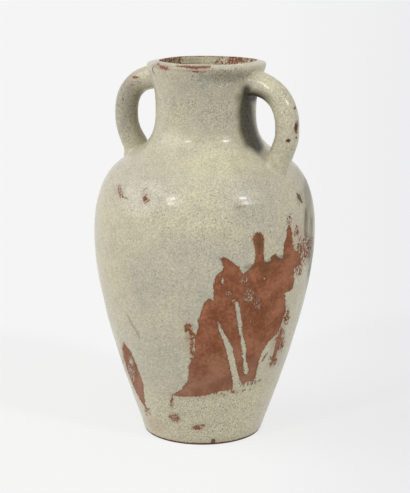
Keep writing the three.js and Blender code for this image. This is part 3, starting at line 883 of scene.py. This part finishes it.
def glaze_material():
    material, tree = empty_material("Crackle glaze over red clay")
    place = object_place(tree)

    def stored(name):
        return Amount(add_node(tree, "ShaderNodeAttribute", attribute_name=name).outputs["Fac"])

    clay = placed_effect(tree, red_clay)
    cracks = placed_effect(tree, crackle)
    worn = placed_effect(tree, worn_edge, {
        "Bare depth": stored("bare_mm"), "Broken": stored("broken"), "Flecked": stored("flecked")})
    painted_shade_amount = stored("painted_shade")
    grit = stored("grit")
    broad = mottle(place, per_metre=14)
    cloud = mottle(place, per_metre=55, detail=3)
    fleck = mottle(place, per_metre=470, detail=3, roughness=0.7)

    # Cream glaze, greyer where it is thick and in the runs, and yellower where it is thin, and painted
    # paler as painted light on the right handle and inside the mouth
    drawn_down = stretched(place, (1.0, 1.0, 0.25))
    streaks = mottle(drawn_down, per_metre=95, detail=4, roughness=0.6).between(0.36, 0.64, 0.0, 0.34)
    cool = (broad.between(0.35, 0.65) * 0.2 + streaks + stored("cool") * COOL_STRENGTH).clamped()
    colour = blend_colours(tree, cool, CREAM, GREY)
    warm_and_painted_light = stored("warm_and_painted_light") * cloud.between(0.2, 0.8, 0.25, 0.65)
    colour = blend_colours(tree, warm_and_painted_light, colour, YELLOW)

    # Its clouds, its fine grain, and the crackle with its lines and cells
    grain = fleck.between(0.32, 0.68, -0.5, 0.5) * (grit * GRIT_GRAIN_STRENGTH + GRAIN_STRENGTH)
    shade = cloud.between(0.3, 0.7) * CLOUD_STRENGTH + grain
    shade = shade + cracks["Cell tone"] * CELL_STRENGTH + PLAIN_SHADE
    shade = shade - cracks["Lines"] * CRACK_STRENGTH
    grey_shade = add_node(tree, "ShaderNodeCombineColor", {0: shade, 1: shade, 2: shade}).outputs[0]
    colour = blend_colours(tree, 1.0, colour, grey_shade, "MULTIPLY")

    # Olive pools, some of them partly painted shade, the painted shade, dark specks of grit and brown
    # stains
    olive_and_painted_shade = stored("olive_and_painted_shade") * mottle(place, per_metre=70, detail=3).between(0.25, 0.65, 0.5)
    colour = blend_colours(tree, olive_and_painted_shade * OLIVE_STRENGTH, colour, OLIVE)
    # Painted shade over the glaze, flecked
    colour = blend_colours(tree, painted_shade_amount * fleck.between(0.3, 0.7, 0.8, 1.1), colour, PAINTED_SHADE_COLOUR)
    distance, dice = scattered_cells(place, SPECKS_PER_METRE)
    chosen = dice.is_above(1 - SPECK_SHARE - grit * GRIT_SPECK_SHARE)
    specks = chosen * distance.between(0.20, 0.40, 1.0, 0.0)
    colour = blend_colours(tree, specks * SPECK_STRENGTH, colour, SPECK)
    stain = stored("stained") * cloud.between(0.3, 0.7, 0.3, 0.9)
    colour = blend_colours(tree, (worn["Rim"] * RIM_STRENGTH).or_more(stain), colour, STAIN)

    # Bare clay, rusty along the edge of the glaze and grimy in the olive places, and dark pits, with
    # painted shade in a crease and along the foot
    clay_colour = blend_colours(tree, worn["Rust"] * RUST_STRENGTH, clay["Color"], RUST)
    clay_colour = blend_colours(tree, olive_and_painted_shade * GRIMY_STRENGTH, clay_colour, GRIMY_CLAY)
    colour = blend_colours(tree, worn["Bare"], colour, clay_colour)
    pit_edge = (mottle(place, per_metre=700) - 0.5) * PIT_RAGGED_MM
    pits_and_shade = (stored("dark_mm") + pit_edge).between(-0.25, 0.35)
    colour = blend_colours(tree, pits_and_shade * PIT_AND_SHADE_STRENGTH, colour, GRIME_AND_SHADE)

    # The glaze is glossy and a little wavy, and the clay, the olive places, the painted shade and the
    # dark marks are dull
    roughness = blend_values(worn["Bare"], fleck.between(0.3, 0.7, 0.36, 0.48), clay["Roughness"])
    peel = mottle(place, per_metre=260) * PEEL_MM - cracks["Lines"] * CRACK_MM
    height = blend_values(worn["Bare"], peel, clay["Height"]) + worn["Height"] - pits_and_shade * PIT_MM
    dull = worn["Bare"].or_more(painted_shade_amount).or_more(olive_and_painted_shade * GRIMY_STRENGTH).or_more(pits_and_shade)
    shader = add_node(
        tree, "ShaderNodeBsdfPrincipled",
        {"Base Color": colour, "Roughness": roughness, "IOR": 1.5,
         "Coat Weight": dull.between(0.0, 1.0, COAT_WEIGHT, 0.0), "Coat Roughness": COAT_ROUGHNESS,
         "Specular IOR Level": GLAZE_SPECULAR, "Normal": bumped(tree, height)})
    add_node(tree, "ShaderNodeOutputMaterial", {"Surface": shader.outputs[0]})
    return material


def bare_clay_material():
    material, tree = empty_material("Bare red clay")
    clay = placed_effect(tree, red_clay)
    shader = add_node(
        tree, "ShaderNodeBsdfPrincipled",
        {"Base Color": clay["Color"], "Roughness": clay["Roughness"],
         "Specular IOR Level": CLAY_SPECULAR, "Normal": bumped(tree, clay["Height"])})
    add_node(tree, "ShaderNodeOutputMaterial", {"Surface": shader.outputs[0]})
    return material


glaze = glaze_material()
bare_clay = bare_clay_material()


def add_piece(name, mesh, *nodes):
    piece = bpy.data.objects.new(name, mesh)
    bpy.context.collection.objects.link(piece)
    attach(piece, "root")
    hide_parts(*nodes)
    return piece


FOOT_ROWS = 10
INNER_FLOOR_ROWS = 8


def cove_rows():
    """The rounded corner between the wall and the floor, downwards."""
    top = FLOOR + COVE_RADIUS
    middle = np.interp(top, inner_line[:, 1], inner_line[:, 0]) - COVE_RADIUS
    return arc((middle, top), COVE_RADIUS, 0, -math.pi / 2, COVE_ROWS + 1)[1:]


def floor_rows(height, edge, count=INNER_FLOOR_ROWS):
    radius = np.linspace(0, edge, count)[:-1]
    return np.stack([radius, np.full(count - 1, height)], axis=1)


def foot_rows():
    """The underside and the small bevel that was trimmed round it."""
    flat = np.interp(FOOT_BEVEL, outer_line[:, 1], outer_line[:, 0]) - FOOT_BEVEL
    bevel = arc((flat, FOOT_BEVEL), FOOT_BEVEL, -math.pi / 2, 0, FOOT_BEVEL_ROWS + 1)[:-1]
    return np.vstack([floor_rows(0, flat, FOOT_ROWS), bevel])


wall_materials = [glaze, bare_clay]
foot_profile = foot_rows()
outer_rows = rows_between(outer_line, FOOT_BEVEL, BELLY_SEAM, OUTER_ROW)
inner_rows = rows_between(inner_line, FLOOR + COVE_RADIUS, BELLY_SEAM, INNER_ROW)[::-1]
cove_profile = cove_rows()
floor_profile = floor_rows(FLOOR, cove_profile[-1, 0])[::-1]
lower_profile = np.vstack([foot_profile, outer_rows, inner_rows, cove_profile, floor_profile])
foot_count = len(foot_profile)
outer_count = len(outer_rows)
lower_sharp = [False] * len(lower_profile)
lower_sharp[foot_count + outer_count - 1] = True
lower_sharp[foot_count + outer_count] = True
lower_inside = [
    row < FOOT_ROWS - 2 or row >= foot_count + outer_count - 1 for row in range(len(lower_profile))]
lower_mesh = turned("lower_body", lower_profile, lower_sharp, lower_inside, False, wall_materials)


def turned_outwards(mesh, profile, first, last):
    """Outward directions on the rows of the outer face, and none on the other rows."""
    points = coordinates(mesh)
    ways = np.zeros_like(points)
    sizes = [SIDES if radius > 0 else 1 for radius, height in profile]
    start = sum(sizes[:first])
    end = sum(sizes[:last])
    ways[start:end] = wall_outwards(points[start:end])
    return ways


fired(lower_mesh, turned_outwards(lower_mesh, lower_profile, foot_count, foot_count + outer_count))
add_piece("glazed_lower_body", lower_mesh, "lower_body")


# Shoulder section
# The second thrown section closes the belly in over the shoulder. It is joined to the lower body
# with slip along a keyed seam, and the seam was scraped smooth before glazing.
def wall_section(name, low, high, inner_material):
    outer = rows_between(outer_line, low, high, OUTER_ROW)
    inner = rows_between(inner_line, low, high, INNER_ROW)[::-1]
    profile = np.vstack([outer, inner])
    sharp = [False] * len(profile)
    for row in (0, len(outer) - 1, len(outer), len(profile) - 1):
        sharp[row] = True
    inside = [inner_material and row >= len(outer) - 1 for row in range(len(profile))]
    mesh = turned(name, profile, sharp, inside, True, wall_materials)
    within = np.zeros(len(mesh.vertices), bool)
    within[len(outer) * SIDES:] = True
    fired(mesh, turned_outwards(mesh, profile, 0, len(outer)), within)
    return mesh


add_piece("glazed_shoulder", wall_section("shoulder_section", BELLY_SEAM, NECK_SEAM, True),
          "shoulder_section")

# Neck section
# A short thrown collar, a little waisted, set on the shoulder. Its inside is glazed only near
# the mouth, where the glaze ran in while it was poured.
add_piece("glazed_neck", wall_section("neck_section", NECK_SEAM, LIP_BASE, False), "neck_section")

# Lip ring
# A thick lip that rolls on from the neck's flare, level on top and worn to the clay along its
# edges, where the glaze was always thin.
LIP_WIDTH = 0.014
LIP_EDGE_RADIUS = 0.0015
LIP_TOP_ROUND = 0.0045
LIP_TOP_FALL = 0.002
LIP_UNDER_ROWS = 9
LIP_OVER_ROWS = 13
LIP_LEVEL_ROWS = 4
LIP_EDGE_ROWS = 9
LIP_WELL_ROWS = 9
MOUTH_ASIDE = 0.002
LIP_RADIUS = NECK_RADIUS + NECK_FLARE + LIP_ROLL_RADIUS * (1 - math.cos(COLLAR_SLOPE))


def lip_profile():
    """The lip's section, with how many rows its bead has and where its inner side starts."""
    half = (LIP_TOP - LIP_BASE) / 2
    middle = LIP_BASE + half
    mouth = LIP_RADIUS - LIP_WIDTH
    under = arc(
        (LIP_RADIUS - LIP_ROLL_RADIUS, middle), LIP_ROLL_RADIUS,
        -COLLAR_SLOPE, 0, LIP_UNDER_ROWS + 1)[:-1]
    over = arc(
        (LIP_RADIUS - LIP_TOP_ROUND, middle), (LIP_TOP_ROUND, half - LIP_TOP_FALL),
        0, math.pi / 2, LIP_OVER_ROWS)
    edge = arc(
        (mouth + LIP_EDGE_RADIUS, LIP_TOP - LIP_EDGE_RADIUS), LIP_EDGE_RADIUS,
        math.pi / 2, math.pi, LIP_EDGE_ROWS)
    level = np.linspace(over[-1], edge[0], LIP_LEVEL_ROWS + 2)[1:-1]
    throat = (np.interp(LIP_BASE, inner_line[:, 1], inner_line[:, 0]), LIP_BASE)
    well = np.linspace(edge[-1], throat, LIP_WELL_ROWS + 1)[1:]
    rows = [under, over, level, edge, well]
    return np.vstack(rows), len(under) + len(over), len(under) + len(over) + len(level)


lip_rows, bead_count, inner_start = lip_profile()
lip_sharp = [row in (0, len(lip_rows) - 1) for row in range(len(lip_rows))]
lip_mesh = turned("lip_ring", lip_rows, lip_sharp, [False] * len(lip_rows), True, wall_materials)
lip_points = coordinates(lip_mesh)
lip_row = np.arange(len(lip_points)) // SIDES
aside_share = np.interp(
    lip_row, [bead_count - 1, inner_start, inner_start + LIP_EDGE_ROWS, len(lip_rows) - 1],
    [0, 1, 1, 0])
lip_points[:, :2] += MOUTH_ASIDE * aside_share[:, None] * to_right[:2]
lip_mesh.vertices.foreach_set("co", lip_points.ravel())
lip_core = LIP_RADIUS - LIP_WIDTH / 2
lip_around = lip_points[:, :2] / np.linalg.norm(lip_points[:, :2], axis=1)[:, None]
lip_ways = lip_points.copy()
lip_ways[:, :2] -= lip_around * lip_core
lip_ways[:, 2] -= (LIP_BASE + LIP_TOP) / 2
lip_ways /= np.linalg.norm(lip_ways, axis=1)[:, None]
lip_ways[:SIDES] = wall_outwards(lip_points[:SIDES])
lip_ways[-SIDES:] = 0
lip_within = np.zeros(len(lip_points), bool)
lip_within[inner_start * SIDES:] = True
fired(lip_mesh, lip_ways, lip_within)
add_piece("glazed_lip", lip_mesh, "lip_ring")

# Handles
# Each handle is a rod of clay, pulled by hand, bent over and set in slip. It leaves the neck
# level under the lip, bows out and comes down on the shoulder, and swells at both roots. The
# right one comes down in one easy sweep, and the left one curls in under its bow.
HANDLE_THICKNESS = 0.0294
HANDLE_WIDTH = 0.031
UPPER_ROOT_DROP = 0.0135
UPPER_ROOT_SWELL = 0.005
UPPER_RUN = 0.043
BOW_RUN_UP = 0.018
SWELL_LENGTH = 0.050
ROOT_SINK = 0.030
ROOT_DEPTH = 0.004
ROOT_POINTS = 30
SINKING_ROUNDS = 4
HANDLE_SET = math.radians(2)
HANDLE_RINGS = 210
HANDLE_SIDES = 152
HANDLE_SHAPES = {
    "right": {"azimuth": -HANDLE_SET, "standoff": 0.058, "bow_drop": 0.0535, "bow_run_down": 0.0195,
              "lower_run": 0.0432, "root_setback": 0.0025, "root_lean": math.radians(21.3),
              "root_swell": 0.002},
    "left": {"azimuth": math.pi + HANDLE_SET, "standoff": 0.0569, "bow_drop": 0.0489,
             "bow_run_down": 0.0348, "lower_run": 0.0157, "root_setback": 0.0056,
             "root_lean": math.radians(0.4), "root_swell": 0.0045},
}


def spine_curve(shape):
    """The handle's middle line in the upright plane through +X: two bends and a straight root."""
    upper = LIP_BASE - UPPER_ROOT_DROP
    start = np.interp(upper, outer_line[:, 1], outer_line[:, 0]) - WALL
    bow = (NECK_RADIUS + shape["standoff"], upper - shape["bow_drop"])
    up_lower = np.array([math.sin(shape["root_lean"]), math.cos(shape["root_lean"])])
    up_shoulder = np.array([-math.cos(SHOULDER_SLOPE), math.sin(SHOULDER_SLOPE)])
    root = np.array([SHOULDER_RADIUS, SHOULDER_HEIGHT]) + shape["root_setback"] * up_shoulder
    above = curve_through(
        (start, upper), (start + WALL + UPPER_RUN, upper), (bow[0], bow[1] + BOW_RUN_UP), bow)
    below = curve_through(
        bow, (bow[0], bow[1] - shape["bow_run_down"]), root + shape["lower_run"] * up_lower, root)
    sunk = root - ROOT_SINK * up_lower * np.linspace(0, 1, ROOT_POINTS)[1:, None]
    return np.vstack([above, below[1:], sunk])


class Spine:
    """A handle's middle line, with its length and its direction at every point."""

    def __init__(self, shape):
        self.line = spine_curve(shape)
        self.swell = shape["root_swell"]
        steps = np.linalg.norm(np.diff(self.line, axis=0), axis=1)
        self.lengths = np.concatenate([[0], np.cumsum(steps)])
        self.length = self.lengths[-1]
        self.ways = np.gradient(self.line, axis=0)
        self.ways /= np.linalg.norm(self.ways, axis=1)[:, None]

    def at(self, lengths):
        middle = along_line(lengths, self.lengths, self.line)
        way = along_line(lengths, self.lengths, self.ways)
        return middle, way / np.linalg.norm(way, axis=-1)[..., None]

    def surface(self, lengths, turns):
        """Points of the rod's surface, at lengths along its spine and turns round it."""
        middle, way = self.at(lengths)
        near_upper = np.clip(1 - lengths / SWELL_LENGTH, 0, 1)
        near_lower = np.clip(1 - (self.length - ROOT_SINK - lengths) / SWELL_LENGTH, 0, 1)
        swell = (UPPER_ROOT_SWELL * near_upper**2 + self.swell * near_lower**2) / 2
        out = (HANDLE_THICKNESS / 2 + swell) * np.cos(turns)
        aside = (HANDLE_WIDTH / 2 + swell) * np.sin(turns)
        return np.stack(
            [middle[..., 0] + way[..., 1] * out, aside, middle[..., 1] - way[..., 0] * out], axis=-1)


def pulled_rod_tree():
    """A rod swept along the handle's curve, swelling with the square of the nearness to a root."""
    tree = bpy.data.node_groups.new("Pulled rod", "GeometryNodeTree")
    tree.interface.new_socket("Curve", in_out="INPUT", socket_type="NodeSocketGeometry")
    for name, value in {
            "Half thickness": HANDLE_THICKNESS / 2, "Half width": HANDLE_WIDTH / 2,
            "Upper swell": UPPER_ROOT_SWELL / 2, "Lower swell": 0.0,
            "Swell length": SWELL_LENGTH, "Sunk length": ROOT_SINK,
            "Rings": HANDLE_RINGS, "Sides": HANDLE_SIDES}.items():
        kind = "NodeSocketInt" if isinstance(value, int) else "NodeSocketFloat"
        tree.interface.new_socket(name, in_out="INPUT", socket_type=kind).default_value = value
    tree.interface.new_socket("Material", in_out="INPUT", socket_type="NodeSocketMaterial")
    tree.interface.new_socket("Rod", in_out="OUTPUT", socket_type="NodeSocketGeometry")
    given = {socket.name: Amount(socket) for socket in tree.nodes.new("NodeGroupInput").outputs}

    def swell_near(length, swell):
        nearness = (1.0 - length / given["Swell length"]).clamped()
        return nearness ** 2.0 * swell

    from_start = Amount(tree.nodes.new("GeometryNodeSplineParameter").outputs["Length"])
    whole = Amount(tree.nodes.new("GeometryNodeSplineLength").outputs["Length"])
    to_root = whole - given["Sunk length"] - from_start
    swell = swell_near(from_start, given["Upper swell"]) + swell_near(to_root, given["Lower swell"])
    scale = swell / given["Half thickness"] + 1.0
    resampled = add_node(
        tree, "GeometryNodeResampleCurve", {"Curve": given["Curve"], "Count": given["Rings"]})
    circle = add_node(
        tree, "GeometryNodeCurvePrimitiveCircle", {"Resolution": given["Sides"], "Radius": 1.0})
    oval_size = add_node(
        tree, "ShaderNodeCombineXYZ", {0: given["Half width"], 1: given["Half thickness"], 2: 1.0})
    oval = add_node(
        tree, "GeometryNodeTransform",
        {"Geometry": circle.outputs["Curve"], "Scale": oval_size.outputs[0]})
    swept = add_node(
        tree, "GeometryNodeCurveToMesh",
        {"Curve": resampled.outputs[0], "Profile Curve": oval.outputs[0], "Scale": scale,
         "Fill Caps": True})
    smooth = add_node(tree, "GeometryNodeSetShadeSmooth", {"Geometry": swept.outputs[0]})
    real = add_node(tree, "GeometryNodeRealizeInstances", {"Geometry": smooth.outputs[0]})
    coated = add_node(
        tree, "GeometryNodeSetMaterial",
        {"Geometry": real.outputs[0], "Material": given["Material"]})
    add_node(tree, "NodeGroupOutput", {"Rod": coated.outputs[0]})
    return tree


rod_tree = pulled_rod_tree()
rod_sockets = {
    item.name: item.identifier
    for item in rod_tree.interface.items_tree if item.in_out == "INPUT"}


def swept_handle_mesh(spine):
    """Run the pulled rod along the spine's curve and keep the result as a plain mesh."""
    data = bpy.data.curves.new("Handle spine", "CURVE")
    data.dimensions = "3D"
    line = data.splines.new("POLY")
    line.points.add(len(spine.line) - 1)
    for point, (out, height) in zip(line.points, spine.line):
        point.co = (out, 0, height, 1)
    guide = bpy.data.objects.new("Handle spine", data)
    bpy.context.collection.objects.link(guide)
    sweep = guide.modifiers.new("Pulled rod", "NODES")
    sweep.node_group = rod_tree
    sweep[rod_sockets["Lower swell"]] = spine.swell / 2
    sweep[rod_sockets["Material"]] = glaze
    bpy.context.view_layer.update()
    evaluated = guide.evaluated_get(bpy.context.evaluated_depsgraph_get())
    mesh = bpy.data.meshes.new_from_object(evaluated)
    bpy.data.objects.remove(guide)
    return mesh


def turned_about_axis(points, angle):
    across = points[..., 0] * math.cos(angle) - points[..., 1] * math.sin(angle)
    deep = points[..., 0] * math.sin(angle) + points[..., 1] * math.cos(angle)
    return np.stack([across, deep, points[..., 2]], axis=-1)


jar_line = np.vstack([outer_line, lip_rows[1:bead_count]])


def height_above_jar(points):
    """How far points stand out of the jar's outer face, measured square to it."""
    radius = np.hypot(points[..., 0], points[..., 1])
    line_way = np.gradient(jar_line, axis=0)
    lean = line_way[:, 1] / np.linalg.norm(line_way, axis=1)
    gap = radius - np.interp(points[..., 2], jar_line[:, 1], jar_line[:, 0])
    return gap * np.interp(points[..., 2], jar_line[:, 1], lean)


def vertex_normals(mesh):
    flat = np.empty(len(mesh.vertices) * 3)
    mesh.vertex_normals.foreach_get("vector", flat)
    return flat.reshape(-1, 3)


def handle_mesh(name, spine, azimuth):
    mesh = swept_handle_mesh(spine)
    mesh.name = name
    points = coordinates(mesh)
    for _ in range(SINKING_ROUNDS):
        above = height_above_jar(points)
        sunk = above < -ROOT_DEPTH
        points[sunk] -= wall_outwards(points[sunk]) * (above[sunk] + ROOT_DEPTH)[:, None]
    mesh.vertices.foreach_set("co", turned_about_axis(points, azimuth).ravel())
    mesh.update()
    fired(mesh, vertex_normals(mesh), half_thickness=HANDLE_THICKNESS / 2)
    return mesh


# Fillets at the handles' roots
# A thin roll of soft clay was pressed into the corner all round each root and smoothed both
# ways, so that it runs out on the handle and on the wall without an edge.
FILLET_SPREAD = 0.006
FILLET_REACH = 0.009
FILLET_FULLNESS = 0.75
FILLET_STEPS = 14
FILLET_BACK = 0.003
FILLET_SIDES = 168
# How finely the line is sought at which a rod meets the jar
ROOT_STEPS = 160
ROOT_HALVINGS = 20
SETTLING_ROUNDS = 5
# Close under the lip the fillet spreads less
LIP_CLEARANCE = 0.001
FULL_SPREAD_BELOW = 0.012
LEAST_SPREAD = 0.25


def root_line(spine, turns, from_lower):
    """The length along the spine at which each line of the rod's surface meets the jar."""
    middle = spine.length * 0.5
    end = spine.length if from_lower else 0.0
    near = np.full(len(turns), middle)
    far = np.full(len(turns), end)
    steps = np.linspace(middle, end, ROOT_STEPS)
    found = np.zeros(len(turns), bool)
    for before, after in zip(steps, steps[1:]):
        inside = height_above_jar(spine.surface(np.full(len(turns), after), turns)) < 0
        fresh = inside & ~found
        near[fresh] = before
        far[fresh] = after
        found |= inside
    for _ in range(ROOT_HALVINGS):
        half = (near + far) / 2
        inside = height_above_jar(spine.surface(half, turns)) < 0
        far = np.where(inside, half, far)
        near = np.where(inside, near, half)
    return (near + far) / 2


def onto_jar(points):
    for _ in range(SETTLING_ROUNDS):
        points = points - wall_outwards(points) * height_above_jar(points)[:, None]
    return points


def fillet_mesh(name, spine, azimuth, from_lower):
    turns = np.linspace(0, 2 * math.pi, FILLET_SIDES, endpoint=False)
    meeting = root_line(spine, turns, from_lower)
    away = -1 if from_lower else 1
    corner = spine.surface(meeting, turns)
    on_rod = spine.surface(meeting + away * FILLET_REACH, turns)
    flat_middle = spine.at(meeting)[0]
    middle = np.stack([flat_middle[:, 0], np.zeros(len(turns)), flat_middle[:, 1]], axis=1)
    spread = corner - middle
    square = wall_outwards(corner)
    spread -= square * (spread * square).sum(axis=1)[:, None]
    spread /= np.linalg.norm(spread, axis=1)[:, None]
    room = np.clip((LIP_BASE - LIP_CLEARANCE - corner[:, 2]) / FULL_SPREAD_BELOW, LEAST_SPREAD, 1)
    on_wall = onto_jar(corner + spread * (FILLET_SPREAD * room)[:, None])
    leave = on_rod + FILLET_FULLNESS * (corner - on_rod)
    arrive = on_wall + FILLET_FULLNESS * (corner - on_wall)
    skin = curve_through(on_rod, leave, arrive, on_wall, FILLET_STEPS + 1)
    around = np.roll(skin, -1, axis=1) - np.roll(skin, 1, axis=1)
    along = np.gradient(skin, axis=0)
    normal = np.cross(around, along)
    normal /= np.linalg.norm(normal, axis=2)[..., None]
    flip = np.sign((normal[0] * (on_rod - middle)).sum())
    normal *= flip
    back = corner - FILLET_BACK * (normal[0] + square) / 2
    grid = np.concatenate([skin, back[None]])
    ways = np.concatenate([normal, np.zeros_like(back)[None]])
    points = turned_about_axis(grid.reshape(-1, 3), azimuth)
    rows = len(grid)
    sharp = [row in (0, rows - 2, rows - 1) for row in range(rows)]
    mesh = ringed_mesh(
        name, points, [FILLET_SIDES] * rows, sharp, [False] * rows, True, [glaze], flip < 0)
    fired(mesh, turned_about_axis(ways.reshape(-1, 3), azimuth), half_thickness=HANDLE_THICKNESS / 2)
    return mesh


for side, shape in HANDLE_SHAPES.items():
    spine = Spine(shape)
    rod_piece = handle_mesh(f"{side}_handle", spine, shape["azimuth"])
    add_piece(f"glazed_{side}_handle", rod_piece, f"{side}_handle")
    for level in ("upper", "lower"):
        node = f"{side}_handle_{level}_fillet"
        fillet = fillet_mesh(node, spine, shape["azimuth"], level == "lower")
        add_piece(f"glazed_{node}", fillet, node)

# Studio
# A wide pale floor that runs off white behind the jar. A broad light stands to the left, a smaller
# one stands on either side of the camera, and a soft one hangs above.
FLOOR_SIZE = 60
FLOOR_PAINT = (0.84, 0.84, 0.83, 1)
FLOOR_ROUGHNESS = 0.9
FLOOR_SPECULAR = 0.1
FLOOR_GLOW = 0.94
# Painted shade on the floor right of the view: its colour, and how far aside it fades in
FLOOR_PAINTED_SHADE = (0.91, 0.91, 0.93, 1)
FLOOR_PAINTED_SHADE_ASIDE = 0.17
FLOOR_GLOW_SHARE = 0.78
ROOM_WHITE = 0.9
ROOM_LIGHT = 0.31


def seen_directly(tree):
    """The share of rays that show the backdrop itself: the camera's, reflected and passing ones."""
    path = {socket.name: Amount(socket) for socket in tree.nodes.new("ShaderNodeLightPath").outputs}
    return path["Is Camera Ray"].or_more(path["Is Glossy Ray"]).or_more(path["Is Transmission Ray"])


def studio_floor():
    """The floor looks white to the camera and to reflections, and still shows the jar's shadow. Right of
    the view its glow is painted darker and bluer as painted shade.
    """
    material, tree = empty_material("Studio floor")
    paint = add_node(
        tree, "ShaderNodeBsdfPrincipled",
        {"Base Color": FLOOR_PAINT, "Roughness": FLOOR_ROUGHNESS, "Specular IOR Level": FLOOR_SPECULAR})
    away = add_node(
        tree, "ShaderNodeVectorMath", {0: object_place(tree), 1: tuple(eye)}, operation="SUBTRACT")
    way = add_node(tree, "ShaderNodeVectorMath", {0: away.outputs[0]}, operation="NORMALIZE")
    aside = add_node(
        tree, "ShaderNodeVectorMath", {0: way.outputs[0], 1: tuple(to_right)},
        operation="DOT_PRODUCT")
    floor_shade_share = Amount(aside.outputs["Value"]).between(0.0, FLOOR_PAINTED_SHADE_ASIDE)
    glow = add_node(
        tree, "ShaderNodeEmission",
        {"Color": blend_colours(tree, floor_shade_share, (1, 1, 1, 1), FLOOR_PAINTED_SHADE), "Strength": FLOOR_GLOW})
    mixed = add_node(
        tree, "ShaderNodeMixShader",
        {0: seen_directly(tree) * FLOOR_GLOW_SHARE, 1: paint.outputs[0], 2: glow.outputs[0]})
    add_node(tree, "ShaderNodeOutputMaterial", {"Surface": mixed.outputs[0]})
    half = FLOOR_SIZE / 2
    corners = [(-half, -half, 0), (half, -half, 0), (half, half, 0), (-half, half, 0)]
    mesh = bpy.data.meshes.new("Studio floor")
    mesh.from_pydata(corners, [], [(0, 1, 2, 3)])
    mesh.materials.append(material)
    floor = bpy.data.objects.new("Studio floor", mesh)
    bpy.context.collection.objects.link(floor)


def studio_room():
    world = bpy.data.worlds.new("Studio room")
    world.use_nodes = True
    tree = world.node_tree
    tree.nodes.clear()
    strength = seen_directly(tree).between(0.0, 1.0, ROOM_LIGHT, ROOM_WHITE)
    room = add_node(tree, "ShaderNodeBackground", {"Color": (1, 1, 1, 1), "Strength": strength})
    add_node(tree, "ShaderNodeOutputWorld", {"Surface": room.outputs[0]})
    bpy.context.scene.world = world


def studio_lamp(name, beside, height, strength, softness):
    """A broad lamp beside the camera, turned from the view by an angle, shining down on the jar."""
    data = bpy.data.lights.new(name, "SUN")
    data.energy = strength
    data.angle = math.radians(softness)
    lamp = bpy.data.objects.new(name, data)
    turn = VIEW_TURN + math.radians(beside)
    rise = math.radians(height)
    towards = Vector((
        math.sin(turn) * math.cos(rise), -math.cos(turn) * math.cos(rise), math.sin(rise)))
    lamp.rotation_euler = towards.to_track_quat("Z", "Y").to_euler()
    bpy.context.collection.objects.link(lamp)


studio_floor()
studio_room()
studio_lamp("Left wall", beside=-84, height=30, strength=1.25, softness=50)
studio_lamp("Left lamp", beside=-40, height=35, strength=0.66, softness=7)
studio_lamp("Right lamp", beside=48, height=35, strength=0.98, softness=8)
studio_lamp("Ceiling", beside=20, height=76, strength=0.5, softness=60)
